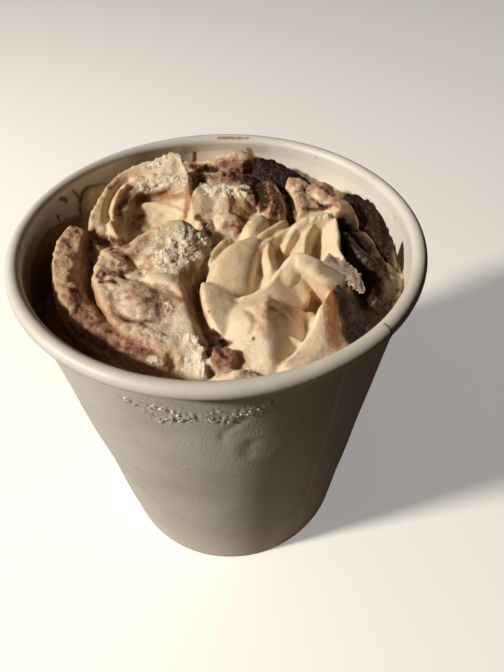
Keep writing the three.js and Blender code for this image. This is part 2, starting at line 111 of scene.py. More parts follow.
def open_with(piece, test):
    """Opens a piece in edit mode with the faces selected whose centre, in millimetres, and
    normal pass the test."""
    only(piece)
    bpy.ops.object.mode_set(mode="EDIT")
    bpy.ops.mesh.select_mode(type="FACE")
    bpy.ops.mesh.select_all(action="DESELECT")
    bpy.ops.object.mode_set(mode="OBJECT")
    for face in piece.data.polygons:
        face.select = test(face.center / MM, face.normal)
    bpy.ops.object.mode_set(mode="EDIT")


def applied(piece, kind, **settings):
    """Adds a modifier with these settings and applies it."""
    only(piece)
    modifier = piece.modifiers.new(kind.lower(), kind)
    for name, value in settings.items():
        setattr(modifier, name, value)
    bpy.ops.object.modifier_apply(modifier=modifier.name)


def smooth(piece, angle=180):
    only(piece)
    bpy.ops.object.shade_smooth_by_angle(angle=math.radians(angle))


def spun(name, profile, steps):
    """A closed section of (radius, height) points, spun round the cup's axis."""
    nothing_selected()
    radius, height = profile[0]
    bpy.ops.mesh.primitive_plane_add(size=MM, location=(0, -radius * MM, height * MM))
    piece = bpy.context.object
    piece.name = piece.data.name = name
    bpy.ops.object.transform_apply(location=True)
    bpy.ops.object.mode_set(mode="EDIT")
    bpy.ops.mesh.merge(type="CENTER")
    for (r1, z1), (r2, z2) in zip(profile, profile[1:] + profile[:1]):
        step = (0, (r1 - r2) * MM, (z2 - z1) * MM)
        bpy.ops.mesh.extrude_region_move(TRANSFORM_OT_translate={"value": step})
    bpy.ops.mesh.select_all(action="SELECT")
    bpy.ops.mesh.spin(steps=steps, angle=2 * math.pi, center=(0, 0, 0), axis=(0, 0, 1))
    bpy.ops.mesh.select_all(action="SELECT")
    bpy.ops.mesh.remove_doubles(threshold=0.003 * MM)
    bpy.ops.mesh.normals_make_consistent(inside=False)
    bpy.ops.object.mode_set(mode="OBJECT")
    return piece


def front_angle(x, y):
    """Degrees round the cup from the front, positive to the right."""
    return np.degrees(np.arctan2(x, -y))


def wall_section():
    half = BOARD + FOOT_CHANNEL / 2
    middle = wall_outside(half) - half
    slot = FOOT_CHANNEL / 2
    leg = wall_inside(FOOT_HEIGHT) - FOOT_CHANNEL
    foot = [(middle - half, 0.6), (middle - half + 0.18, 0.18), (middle - half + 0.6, 0)]
    foot += [(middle + half - 0.6, 0), (middle + half - 0.18, 0.18), (middle + half, 0.6)]
    outside = [(wall_outside(z), z) for z in [2, 4] + list(range(7, 99, 3)) + [100, NECK_Z]]
    inside = [(wall_inside(z), z) for z in [NECK_Z, 101, 100.5] + list(range(100, 82, -1))]
    inside += [(wall_inside(z), z) for z in range(80, 2, -4)]
    turned_up = [(middle + slot, 1), (middle + slot / 2, 0.5), (middle - slot / 2, 0.5)]
    turned_up += [(middle - slot, 1), (leg, FOOT_HEIGHT), (leg - BOARD, FOOT_HEIGHT)]
    roll = arc(ROLL_TUBE - BOARD, 180, ROLL_END, 16) + arc(ROLL_TUBE, ROLL_END, 180, 22)
    return foot + outside + roll + inside + turned_up


cup = spun("paper_cup", wall_section(), SECTORS)

# The outer edge of the lap stands one board proud on the outside, and makes a step in the roll.


def on_lap(at, normal):
    outward = normal.x * at.x + normal.y * at.y > 0
    angle = front_angle(at.x, at.y)
    outer = math.hypot(at.x, at.y) > wall_outside(at.z) - 0.1
    return outward and outer and 2 < at.z < NECK_Z - 1 and LAP[0] < angle < LAP[1]


open_with(cup, on_lap)
bpy.ops.mesh.extrude_region_shrink_fatten(TRANSFORM_OT_shrink_fatten={"value": LAP_STEP * MM})


def points_of(piece):
    """The vertices of a piece in millimetres."""
    flat = np.empty(len(piece.data.vertices) * 3, np.float32)
    piece.data.vertices.foreach_get("co", flat)
    return flat.reshape(-1, 3).astype(float) / MM


def normals_of(piece):
    flat = np.empty(len(piece.data.vertices) * 3, np.float32)
    piece.data.vertices.foreach_get("normal", flat)
    return flat.reshape(-1, 3)


def place_points(piece, points):
    piece.data.vertices.foreach_set("co", (points * MM).astype(np.float32).ravel())
    piece.data.update()


def nearness(path, places):
    """How far places are from a line through the points of a path, and where along it."""
    path = np.array(path, float)
    far, along, start = np.full(len(places), 1e9), np.zeros(len(places)), 0
    for a, b in zip(path, path[1:]):
        step = b - a
        length = np.linalg.norm(step)
        t = np.clip((places - a) @ step / length**2, 0, 1)
        reach = np.linalg.norm(places - a - t[:, None] * step, axis=1)
        closer = reach < far
        far[closer] = reach[closer]
        along[closer] = start + t[closer] * length
        start += length
    return far, along


def painted(places, strokes, streaks=0):
    """How strongly strokes of (strength, width, path) mark places. Streaks break a stroke up
    lengthwise, as under a dry brush."""
    cover = np.zeros(len(places))
    for number, (strength, width, path) in enumerate(strokes):
        far, along = nearness(path, places)
        near = np.flatnonzero(far < 2.5 * width)
        mark = strength * np.exp(-((far[near] / width) ** 2))
        if streaks:
            bristles = zip(along[near] / 2.2, far[near] / 0.45)
            mark *= 1 + streaks * np.array([noise.noise(Vector((a, f, number))) for a, f in bristles])
        cover[near] = np.maximum(cover[near], mark)
    return cover


def keep_mask(piece, name, values):
    """Stores one number a vertex for the piece's material to read."""
    attribute = piece.data.attributes.new(name, "FLOAT", "POINT")
    attribute.data.foreach_set("value", np.asarray(values, np.float32))


# On the wall a place is (millimetres round the cup from the front, millimetres below the rim).
ARC_MM = math.radians(1) * 44
PUCKERS = [  # strands of little puckers in the damp board, as (degrees, height) points
    (0.7, 0.9, [(-22, -10), (-20.1, -10.3), (-16.5, -10), (-12.5, -10.2), (-8.3, -11.4)]),
    (0.4, 0.7, [(-8.3, -11.4), (-3.5, -11.5), (2.1, -9.6)]),
    (0.9, 0.9, [(-16.4, -12.8), (-13.5, -14.8), (-7.8, -13.5), (-4, -12.4)]),
    (1, 1.1, [(-0.5, -12.4), (4, -13.1), (7.1, -11.2), (11.7, -9.9), (14.4, -9.1)]),
]
CREASE = [(8.6, -12.6), (7.4, -14.1), (4.8, -16.7), (2.5, -18.5), (2, -21.2)]
DIMPLE = [(9.8, -23.5), (8.8, -26), (8.9, -28.4)]
RING_DENT = (11.6, -26.5)


def on_wall(path):
    return [(angle * ARC_MM, height) for angle, height in path]


def painted_on_wall(places, strokes, streaks=0):
    unrolled = [(strength, width, on_wall(path)) for strength, width, path in strokes]
    return painted(places, unrolled, streaks)


def near_marks(at, normal):
    """The places that need a finer mesh: the puckers, the drips and the step in the roll."""
    angle, height = front_angle(at.x, at.y), at.z - CUP_HEIGHT
    if math.hypot(at.x, at.y) < wall_outside(at.z) - 0.1:
        return height > -13 and (-124 < angle < -97 or abs(angle) > 164)
    puckered = -26 < angle < 20 and -34 < height < -5
    return puckered or height > -4.2 and (42 < angle < 48.5 or abs(angle) > 169)


open_with(cup, near_marks)
bpy.ops.mesh.subdivide(number_cuts=3)
bpy.ops.object.mode_set(mode="OBJECT")

points = points_of(cup)
radius = np.hypot(points[:, 0], points[:, 1])
places = np.stack([front_angle(points[:, 0], points[:, 1]) * ARC_MM, points[:, 2] - CUP_HEIGHT], 1)
outside = radius > wall_outside(points[:, 2]) - 0.1
pucker = painted_on_wall(places, PUCKERS, 1)
pucker *= (places[:, 1] < -5) & outside
crumple = np.array([noise.noise(Vector((x / 0.8, z / 0.6, 3))) for x, z in places])
crease = nearness(on_wall(CREASE), places)[0]
dimple = nearness(on_wall(DIMPLE), places)[0]
ring = np.hypot(places[:, 0] - RING_DENT[0] * ARC_MM, places[:, 1] - RING_DENT[1])
bend = 0.5 * np.array([noise.noise(Vector(p) / 26) for p in points])
bend *= np.clip((CUP_HEIGHT - 6 - points[:, 2]) / 15, 0, 1) * np.clip(points[:, 2] / 20 - 0.4, 0, 1)
push = 0.7 * pucker * crumple * outside + bend
dents = ((-0.13, crease), (-0.12, dimple / 1.7), (-0.1, ring / 4.5), (0.05, (ring - 5.5) / 1.5))
for height, across in dents:
    push += height * np.exp(-(across**2)) * outside

# The roll is one board thicker on the near side of the lap's inner edge.
angle = places[:, 0] / ARC_MM
lapped = np.clip((angle - 30) / 12, 0, 1) * (angle < LAP[1] + 0.2)
rolled = (points[:, 2] > NECK_Z + 0.5) & (radius > 45.6)
centre = np.stack([points[:, 0] / radius, points[:, 1] / radius], 1) * ROLL_CENTRE[0]
swell = 1 + 0.11 * lapped * rolled
# A dark line in the step of the roll at the lap's edge: painted shade in the crack.
crack_shade = np.exp(-(((angle - LAP[1] - 0.35) / 0.3) ** 2)) * rolled
plan = centre + (points[:, :2] - centre) * np.where(rolled, swell, 1)[:, None]
points[:, :2] = plan * (1 + push / radius)[:, None]
place_points(cup, points)
smooth(cup, 42)

# Chocolate stains, apart from one streak of painted shade on the left inner wall.
DRIPS_AND_SHADE = [  # chocolate that ran down the inside, as (degrees, height) points
    (0.8, 0.8, [(-111.2, -2.4), (-113, -3.4), (-114, -4.4)]),
    # This streak is painted shade, in the gap between the wall and the thin leaf in front of it.
    (0.55, 1.0, [(-118, -3), (-119.5, -5.5), (-120.3, -8), (-119.6, -11)]),
    (0.7, 0.6, [(-108, -6), (-108, -7)]),
    (0.6, 0.45, [(-100, -7), (-101, -8)]),
    (0.5, 0.9, [(171.5, -0.2), (175, -0.3), (180, -0.3)]),
    (0.5, 0.9, [(-180, -0.3), (-178, -0.2)]),
    (0.6, 1.3, [(170.5, -4), (169, -6.5), (168, -9)]),
    (0.9, 0.7, [(-168.4, -4.6), (-168.3, -6.2), (-166.8, -9)]),
    (0.7, 0.35, [(143.4, -1.8), (143.9, -2.2)]),
    (0.7, 0.35, [(101.8, -3.7), (101.5, -4.6)]),
    (0.7, 0.3, [(97.1, -3.8), (97.1, -4.4)]),
]
inside = radius < wall_inside(points[:, 2]) + 0.1
stain_and_shade = painted_on_wall(places, DRIPS_AND_SHADE) * inside
coated = (angle > -117) & (angle < -20)
level = np.interp(angle, [-117, -108, -100, -90, -60, -20], [-8.5, -6, -5, -5.5, -8.5, -9.5])
wander = np.array([noise.noise(Vector((a / 5, 2, 0))) for a in places[:, 0]])
coated = coated * inside * 0.5 * np.clip((level + 1.2 * wander - places[:, 1]) / 2, 0, 1)
# Darker board: damp round the dimple and the ring dent, and painted shade along the crease and in the
# crack of the roll.
damp_and_shade = 0.45 * np.exp(-((dimple / 1.6) ** 2)) + 0.35 * np.exp(-((crease / 0.9) ** 2))
damp_and_shade += 0.12 * np.exp(-((ring / 5) ** 2)) + crack_shade
cut_edge = np.exp(-(((angle - LAP[0]) / 0.5) ** 2)) * (points[:, 2] < NECK_Z)
keep_mask(cup, "stain_and_shade", np.maximum(stain_and_shade, coated))
keep_mask(cup, "damp_and_shade", np.clip(damp_and_shade, 0, 1) * (radius > 45))
keep_mask(cup, "pucker", pucker)
keep_mask(cup, "cut_edge", cut_edge * outside)
keep_mask(cup, "lining", inside | (points[:, 2] > NECK_Z))
# foot: the outside painted paler towards the bottom, a painted bounce light from the table
keep_mask(cup, "foot", outside * np.clip(1 - points[:, 2] / 34, 0, 1) ** 1.5)


class Signal:
    """A number that varies over a surface; sums and products of signals add Math nodes."""

    def __init__(self, finish, socket):
        self.finish = finish
        self.socket = socket

    def math(self, operation, first, second):
        return self.finish.node("ShaderNodeMath", {"operation": operation}, {0: first, 1: second})

    def __add__(self, other):
        return self.math("ADD", self, other)

    def __sub__(self, other):
        return self.math("SUBTRACT", self, other)

    def __rsub__(self, other):
        return self.math("SUBTRACT", other, self)

    def __mul__(self, other):
        return self.math("MULTIPLY", self, other)

    __radd__ = __add__
    __rmul__ = __mul__

    def ramp(self, low, high):
        """0 below low, 1 above high and smooth between them."""
        settings = {"interpolation_type": "SMOOTHSTEP"}
        return self.finish.node("ShaderNodeMapRange", settings, {0: self, 1: low, 2: high})


class Finish:
    """A material, whose shader's own sockets are set by name."""

    def __init__(self, name, **sockets):
        self.material = bpy.data.materials.new(name)
        self.material.use_nodes = True
        self.tree = self.material.node_tree
        self.shader = self.tree.nodes["Principled BSDF"]
        for socket, value in sockets.items():
            self.shader.inputs[socket.replace("_", " ")].default_value = value

    def node(self, kind, settings=None, inputs=None, output=0):
        made = self.tree.nodes.new(kind)
        for name, value in (settings or {}).items():
            setattr(made, name, value)
        for name, value in (inputs or {}).items():
            self.feed(made.inputs[name], value)
        return Signal(self, made.outputs[output])

    def feed(self, socket, value):
        if isinstance(value, Signal):
            self.tree.links.new(value.socket, socket)
        else:
            socket.default_value = value

    def grain(self, size, detail=2, stretch=(1, 1, 1), distortion=0, roughness=0.5):
        """Noise with features about `size` millimetres across."""
        at = self.node("ShaderNodeTexCoord", output=3)
        at = self.node("ShaderNodeMapping", inputs={"Vector": at, "Scale": stretch})
        inputs = {"Vector": at, "Scale": 1000 / size, "Detail": detail}
        inputs.update({"Distortion": distortion, "Roughness": roughness})
        return self.node("ShaderNodeTexNoise", inputs=inputs)

    def mask(self, name):
        return self.node("ShaderNodeAttribute", {"attribute_name": name}, output=2)

    def blend(self, factor, first, second):
        inputs = {0: factor, 6: first, 7: second}
        return self.node("ShaderNodeMix", {"data_type": "RGBA"}, inputs, output=2)

    def surface(self, colour, roughness, height=None, depth=0.1):
        """Links the colour, the roughness and a bump of `depth` millimetres."""
        self.feed(self.shader.inputs["Base Color"], colour)
        self.feed(self.shader.inputs["Roughness"], roughness)
        if height:
            inputs = {"Height": height, "Distance": depth * MM, "Strength": 1.0}
            self.feed(self.shader.inputs["Normal"], self.node("ShaderNodeBump", inputs=inputs))

    def cover(self, piece, slot):
        piece.data.materials.clear()
        piece.data.materials.append(self.material)


def tint(code):
    """A colour for a shader from its web code."""
    parts = [int(code[i:i + 2], 16) / 255 for i in (0, 2, 4)]
    return [p / 12.92 if p <= 0.04045 else ((p + 0.055) / 1.055) ** 2.4 for p in parts] + [1]


def paper_finish():
    paper = Finish("cup_paper")
    cloud = paper.grain(14, 3)
    fibre = paper.grain(0.5, 4, (1, 1, 0.35))
    fleck = paper.grain(1.1, 1)
    lining = paper.mask("lining")
    bare = paper.blend(cloud.ramp(0.35, 0.7), tint("cfcbc3"), tint("c5c0b6"))
    bare = paper.blend(fleck.ramp(0.66, 0.74) * 0.35, bare, tint("8f8676"))
    # Painted bounce light: the outside paler towards the foot.
    bare = paper.blend(paper.mask("foot"), bare, tint("eee4d6"))
    bare = paper.blend(paper.mask("cut_edge") * 0.25, bare, tint("f4efe4"))
    # In the puckers: near-white specks of painted highlight for the glints of the wet board, and dark
    # specks of painted shade in its pits.
    puckered = paper.mask("pucker").ramp(0.15, 0.6)
    glint_and_pit_shade = paper.grain(0.7, 2)
    bare = paper.blend(glint_and_pit_shade.ramp(0.55, 0.68) * puckered * 0.6, bare, tint("6b6152"))
    bare = paper.blend((1 - glint_and_pit_shade).ramp(0.6, 0.68) * puckered, bare, tint("f6f2ea"))
    coat = paper.blend(cloud.ramp(0.3, 0.7), tint("dcd8d0"), tint("d2cdc2"))
    colour = paper.blend(lining, bare, coat)
    # Darker where the board is damp, with painted shade along the crease and in the roll's crack.
    colour = paper.blend(paper.mask("damp_and_shade"), colour, tint("5c5040"))
    # Chocolate stains on the wall, and one streak of painted shade.
    ragged = paper.mask("stain_and_shade") + 0.5 * (paper.grain(0.9, 3) - 0.5)
    colour = paper.blend(ragged.ramp(0.25, 0.5), colour, tint("a98462"))
    colour = paper.blend(ragged.ramp(0.5, 0.8), colour, tint("7d5333"))
    rough = 0.62 - 0.12 * lining - 0.3 * paper.mask("pucker").ramp(0.2, 0.6)
    rough = rough - 0.25 * ragged.ramp(0.4, 0.6)
    paper.surface(colour, rough, fibre * (1 - 0.7 * lining), 0.05)
    return paper


paper = paper_finish()
paper.cover(cup, "cup_paper")
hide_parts("cup_wall")
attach(cup, "root")

# ---- The bottom disc --------------------------------------------------------------------
# A flat disc of the same board, coated on top, whose skirt is held in the turned-in foot. Its
# plain shape is right as packed, so it only gets the board's finish.


def disc_finish():
    board = Finish("disc_board")
    cloud = board.grain(9, 3)
    colour = board.blend(cloud.ramp(0.35, 0.7), tint("ccc7bd"), tint("c0baae"))
    board.surface(colour, 0.6 + 0.1 * cloud, board.grain(0.5, 4), 0.05)
    return board


disc_finish().cover(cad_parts["cup_bottom"], "cup_paper")

# ---- The gelato -------------------------------------------------------------------------
# Vanilla gelato, banked up and folded over with a spatula, so that smooth folds, torn frosty
# edges and chocolate ripple lie side by side. It is one soft mass that fills the cup.

FOLD_ROOT = 14  # how far a fold's foot reaches down from its crest
FOLD_STEP = 0.8
BED_DEPTH = 9  # the gelato between the folds, below the rim
BED_FLOOR = 88.5
VOXEL = 0.4


def inside_limit(z):
    """The largest radius that gelato may have at a height: it just meets the paper."""
    lip = 45 - 0.182 * np.clip(z - NECK_Z, 0, 2.6)
    return np.minimum(wall_inside(np.minimum(z, NECK_Z)), lip) + 0.05


def within_cup(points):
    points[:, 2] = np.clip(points[:, 2], BED_FLOOR, CUP_HEIGHT - 0.1)
    radius = np.hypot(points[:, 0], points[:, 1])
    points[:, :2] *= np.minimum(1, inside_limit(points[:, 2]) / np.maximum(radius, 1e-6))[:, None]
    return points


def waver(points, size, seed=0):
    """Smooth noise from -1 to 1 at each point, with bumps about as big as size."""
    shift = Vector((seed * 7.3, seed * 3.1, seed * 5.7))
    return np.array([noise.noise(Vector(p) / size + shift) for p in points])


def mesh_piece(name, points, faces):
    mesh = bpy.data.meshes.new(name)
    mesh.from_pydata((np.asarray(points) * MM).tolist(), [], faces)
    piece = bpy.data.objects.new(name, mesh)
    bpy.context.scene.collection.objects.link(piece)
    return piece


def crest_line(path, step=FOLD_STEP):
    """A centripetal Catmull-Rom line, as points about a step apart and their distance along."""
    path = np.array(path, float) + (0, 0, CUP_HEIGHT)
    path = np.vstack([2 * path[0] - path[1], path, 2 * path[-1] - path[-2]])
    dense = []
    for p0, p1, p2, p3 in zip(path, path[1:], path[2:], path[3:]):
        d0, d1, d2 = (np.linalg.norm(b - a) ** 0.5 for a, b in ((p0, p1), (p1, p2), (p2, p3)))
        t1 = ((p1 - p0) / d0 - (p2 - p0) / (d0 + d1) + (p2 - p1) / d1) * d1
        t2 = ((p2 - p1) / d1 - (p3 - p1) / (d1 + d2) + (p3 - p2) / d2) * d1
        for t in np.linspace(0, 1, 24, endpoint=False):
            square = (3 * p2 - 3 * p1 - 2 * t1 - t2) * t * t
            dense.append(p1 + t1 * t + square + (2 * p1 - 2 * p2 + t1 + t2) * t**3)
    dense = np.array(dense + [path[-2]])
    run = np.concatenate([[0], np.cumsum(np.linalg.norm(np.diff(dense, axis=0), axis=1))])
    stops = np.linspace(0, run[-1], max(6, round(run[-1] / step) + 1))
    return np.stack([np.interp(stops, run, dense[:, k]) for k in range(3)], 1), stops


def fold(crest, left, right, ends=(3, 3), under=0, rough=0, ribs=0, torn=0, seed=1):
    """A bank pushed up by the spatula. Each flank is (width, drop, round): 2 is a dome and less
    than 1 a hollow under a thin edge. `ribs` are the spatula's fine lengthwise ridges, `torn`
    the height of a ragged crest and `rough` that of the crags."""
    line, run = crest_line(crest)
    heading = np.gradient(line[:, :2], axis=0)
    heading /= np.linalg.norm(heading, axis=1)[:, None]
    side = np.stack([-heading[:, 1], heading[:, 0]], 1)
    from_start = np.minimum(1, 0.12 + run / ends[0])
    from_end = np.minimum(1, 0.12 + (run[-1] - run) / ends[1])
    swell = np.sqrt(1 - (1 - np.minimum(from_start, from_end)) ** 2)
    sag = (1 - swell) * 0.6 * min(left[1], right[1])
    section = []
    for (width, drop, power), sign in ((left, 1), (right, -1)):
        steps = max(5, round((width + drop) / 0.9))
        angles = np.linspace(0, math.pi / 2, steps + 1)
        u = sign * width * np.sin(angles) ** (2 / power)
        w = -drop * (1 - np.cos(angles) ** (2 / power))
        section.append(list(zip(u, w))[::-1] if sign > 0 else list(zip(u, w))[1:])
    section = np.array(section[0] + section[1])
    rings, across = len(line), len(section)
    u = section[None, :, 0] * swell[:, None]
    w = section[None, :, 1] - sag[:, None]
    grid = np.empty((rings, across, 3))
    grid[:, :, :2] = line[:, None, :2] + side[:, None] * u[:, :, None]
    grid[:, :, 2] = line[:, None, 2] + w
    flat = grid.reshape(-1, 3)
    spread = np.sign(section[:, 0]) * np.hypot(section[:, 0], section[:, 1])
    sheet = np.stack(np.broadcast_arrays(spread[None], run[:, None], float(seed)), -1).reshape(-1, 3)
    if rough:
        flat[:, 2] += 1.6 * rough * waver(flat, 2.8, seed) + 0.7 * rough * waver(flat, 1.3, seed)
        flat[:, :2] += rough * (np.repeat(side, across, 0) * waver(flat, 2.4, seed + 9)[:, None])
    if ribs:
        flat[:, 2] += ribs * waver(sheet / (1, 11, 1), 1.1, seed)
    if torn:
        edge = np.exp(-((sheet[:, 0] / 1.4) ** 2))
        flat[:, 2] += torn * edge * (waver(flat, 1.5, seed + 4) + waver(flat, 0.8, seed + 5) - 0.3)
    feet = np.repeat(grid[:, [-1, 0]], 1, 1)
    feet[:, 0, :2] = line[:, :2] + side * (u[:, -1] + under * swell)[:, None]
    feet[:, :, 2] = line[:, None, 2] - FOLD_ROOT
    grid = np.concatenate([flat.reshape(rings, across, 3), feet], 1)
    ring = across + 2
    faces = [(i * ring + j, i * ring + (j + 1) % ring, (i + 1) * ring + (j + 1) % ring,
              (i + 1) * ring + j) for i in range(rings - 1) for j in range(ring)]
    faces += [tuple(range(ring))[::-1], tuple(range((rings - 1) * ring, rings * ring))]
    return mesh_piece("fold", within_cup(grid.reshape(-1, 3)), faces)


def lump(at, size, turn=0, rough=0, seed=1):
    """A rounded scoop: `at` is the middle of its top, and size its half length, half width and
    full height."""
    nothing_selected()
    bpy.ops.mesh.primitive_ico_sphere_add(subdivisions=5, radius=MM)
    ball = bpy.context.object
    bpy.ops.object.mode_set(mode="EDIT")
    bpy.ops.transform.resize(value=size)
    bpy.ops.transform.rotate(value=-math.radians(turn), orient_axis="Z", center_override=(0, 0, 0))
    place = (at[0] * MM, at[1] * MM, (CUP_HEIGHT + at[2] - size[2]) * MM)
    bpy.ops.transform.translate(value=place)
    bpy.ops.object.mode_set(mode="OBJECT")
    points = points_of(ball)
    middle = points.mean(0)
    if rough:
        grown = rough * (1.6 * waver(points, 2.6, seed) + 0.7 * waver(points, 1.2, seed))
        points += (points - middle) * (grown / np.linalg.norm(points - middle, axis=1))[:, None]
    place_points(ball, within_cup(points))
    return ball


def left_banks():
    """A crescent bank along the wall, and the broad folded lobe inside it."""
    return [
        fold([(-36.9, 9, -4.6), (-38, 3, -4), (-37.9, -4, -4), (-36.3, -11.5, -4.1), (-33, -19, -4.6),
              (-28.5, -24.5, -5.6), (-22.5, -29, -6.5), (-15.5, -32.7, -6.8), (-8, -35, -7)],
             (5.6, 7, 3), (1.6, 8, 2.3), rough=0.3, ribs=0.15, seed=2),
        fold([(-23, -1.5, -4.5), (-27, -4.5, -5), (-27.5, -10, -5), (-25.5, -16, -5),
              (-21.5, -23, -5), (-17, -28, -5.5), (-11, -31, -6), (-5, -32.5, -6.5)],
             (13, 3, 1.8), (2.2, 8, 2), rough=0.2, ribs=0.3, seed=3),
        lump((-16.8, -19.2, -4.5), (8.5, 7.2, 3), turn=130, rough=0.4, seed=4),
        fold([(-24.5, -2.5, -5), (-19.5, 2, -4), (-14.5, 5.5, -3), (-8.5, 7.5, -2)],
             (1.6, 7, 1.2), (10, 4, 1.5), torn=0.3, ribs=0.1, seed=5),
        fold([(-8, 7.5, -3), (-6.5, 1.5, -4), (-7.5, -4.5, -5), (-9, -11, -5), (-7.5, -18, -5),
              (-5.5, -24, -6), (-3.5, -30, -7)],
             (3.6, 9, 1.5), (11, 3, 1.8), rough=0.2, ribs=0.2, seed=6),
        lump((-12.5, -2, -4.1), (8, 7.5, 3.5), rough=0.5, seed=7),
        lump((-7.6, 1.5, -4.2), (5.4, 7.5, 4.5), turn=-15, rough=0.5, seed=60),
        fold([(-16, -12, -4.4), (-9, -12, -4.4)], (2, 1.5, 1.3), (7, 2.5, 1.3), ribs=0.12, seed=8),
    ]


def nested_petals():
    """Petals nested like cups, and a thin leaf smeared up the wall behind them."""
    return [
        fold([(-38.5, 20, -8), (-37, 24, -4.5), (-33.5, 28.5, -5.5), (-29, 32, -7)],
             (2, 4, 1.5), (3.5, 6, 1.5), seed=53),
        fold([(-33, 7, -6), (-33.5, 12.5, -5), (-32.5, 19, -4), (-30.5, 26, -3), (-27.5, 30.5, -2.5),
              (-23.5, 33.5, -2), (-17.5, 34, -1), (-14, 35.5, 0), (-11.5, 33, 0)],
             (1.6, 8, 1.4), (8, 2.5, 1.2), ends=(2, 2), torn=0.35, ribs=0.15, seed=9),
        fold([(-12.5, 34.5, 0), (-10, 29, -1), (-9, 25, -2), (-8.5, 20.5, -4), (-8.5, 17, -6)],
             (1.4, 7, 1.2), (7, 4.5, 1), ends=(2, 2), torn=0.3, ribs=0.15, seed=10),
        fold([(-25.5, 5, -6), (-28, 9.5, -5.5), (-28.5, 14.5, -5), (-28.5, 19, -4), (-27, 24.5, -3),
              (-22.5, 27.5, -2.5), (-17, 28, -2), (-10, 27, -2)],
             (1.4, 2, 1.4), (4, 5, 1.3), rough=0.4, torn=0.5, seed=11),
        fold([(-26.5, 19, -8), (-22.5, 20.5, -7.5), (-19, 21, -7), (-14.5, 19.5, -7),
              (-10, 16.5, -7)], (4, 1, 1.4), (9, 6, 0.8), ribs=0.1, seed=12),
        lump((-30.5, 9, -6), (3.4, 3, 6), turn=60, seed=13),
        lump((-31, 2.5, -7), (2.4, 2, 4), rough=0.3, seed=14),
        lump((-27, 0, -7), (5, 4, 6), rough=0.5, seed=15),
    ]


def back_scoops():
    """Torn chunks in the middle and rounded scoops against the wall."""
    return [
        fold([(-5.5, 27.5, -4), (-7, 22.5, -4), (-8, 18.5, -5), (-8, 15, -7)],
             (7, 3, 1.6), (1.4, 6, 1.4), rough=0.4, seed=16),
        fold([(-5.5, 23.5, -4), (-1, 24, -3.5), (5, 22.5, -4), (8.5, 19, -6)],
             (4, 3, 1.6), (8, 5, 1.3), rough=0.6, torn=0.4, seed=17),
        lump((1.5, 13.5, -6), (5, 4, 5), turn=-30, rough=0.4, seed=18),
        lump((-4.5, 12.5, -7), (3.6, 3, 4), rough=0.5, seed=55),
        fold([(-6, 37, -4.6), (-1, 38.4, -2.9), (4.7, 38.8, -1.6), (8.2, 37.8, -2.2)],
             (4.5, 4, 1.7), (4.5, 4, 1.7), rough=0.5, seed=20),
        fold([(-9, 32, -4.5), (-4, 31, -4), (3, 31.5, -4.5), (10, 29.5, -5)],
             (4, 3, 1.8), (4, 4, 1.8), rough=0.5, torn=0.3, seed=21),
        lump((6.5, 25.5, -5), (3.6, 4.4, 4), rough=0.3, seed=19),
        fold([(11.5, 30, -5), (13, 24, -4.5), (13.5, 17.5, -5.5), (12.5, 12.5, -7)],
             (3.8, 5, 1.9), (4.2, 5, 1.9), rough=0.4, seed=23),
        fold([(18.5, 31, -4.5), (20.8, 24, -4.3), (21.5, 16, -5)],
             (5, 4, 1.9), (2.8, 6, 1.9), rough=0.25, ribs=0.15, seed=25),
        lump((26.5, 22, -3.4), (5.2, 7, 6), turn=-20, rough=0.3, seed=26),
        fold([(28.5, 22, -4), (32.5, 15, -4), (33, 9, -4.5)],
             (3, 5, 1.8), (5, 4, 1.8), ribs=0.12, seed=27),
    ]


def shell_folds():
    """Smooth shell-like folds that sweep up to a hooked crest."""
    return [
        fold([(9, 3.5, -4), (5, -2.5, -4.3), (3, -8, -4.8), (2.3, -12.5, -6), (2.5, -16, -7.5)],
             (5.8, 6, 2.8), (5.8, 7, 2.8), ends=(16, 5), ribs=0.06, seed=28),
        fold([(2, 5, -6), (-1, 1, -7), (-2.5, -5, -7)],
             (2.4, 4, 1.6), (2, 5, 1.6), ribs=0.1, seed=29),
        fold([(-3.5, -12, -5.8), (-2.5, -18, -6), (-1, -23, -7), (1.5, -27, -8)],
             (7.5, 2.5, 1.5), (1.8, 9, 1.6), ribs=0.1, seed=30),
        fold([(12.3, 2.5, -5), (11.5, -4, -4.8), (12.2, -9.5, -5.5), (10.5, -14, -7)],
             (2.4, 4, 1.4), (1.8, 4, 1.4), ends=(9, 4), seed=31),
        fold([(14, 4, -5), (11, 1.5, -5.5), (9.5, -2, -6)],
             (1.5, 3, 1.6), (1.2, 3, 1.6), seed=32),
        fold([(2, -17, -7.5), (8, -16, -6.5), (12, -14, -5), (15, -10, -3.5), (18.5, -7.5, -2.3)],
             (2.2, 5, 1.3), (7, 7, 1), ends=(6, 2), ribs=0.06, seed=54),
        fold([(13, -12.5, -5), (15, -10, -3.5), (17.5, -7.5, -2), (21, -8.5, -2), (25, -11.5, -2.5),
              (29.3, -14.8, -3.2)],
             (2.4, 5, 1.3), (3.4, 2.4, 1.5), ends=(3, 1.5), under=2.6, ribs=0.12, seed=33),
        fold([(11.5, -15, -7), (10.8, -21, -5.3), (10.8, -28, -6.2), (11.5, -36.5, -8)],
             (9, 7, 1.1), (11, 4.5, 1.3), ends=(8, 3), rough=0.15, ribs=0.12, seed=34),
        fold([(14.5, -26.5, -8.5), (18.5, -27.5, -9.5)],
             (1.2, 2, 1.4), (1.5, 2, 1.4), ends=(1.5, 1.5), seed=35),
        fold([(27.6, -13, -4.4), (25, -17, -5), (22.5, -21.5, -5.5), (20.5, -26.5, -6.5),
              (17, -31.5, -7.5), (12.5, -36.5, -8)],
             (11, 7, 1.5), (1.6, 8, 1.4), ends=(7, 3), ribs=0.15, seed=36),
    ]


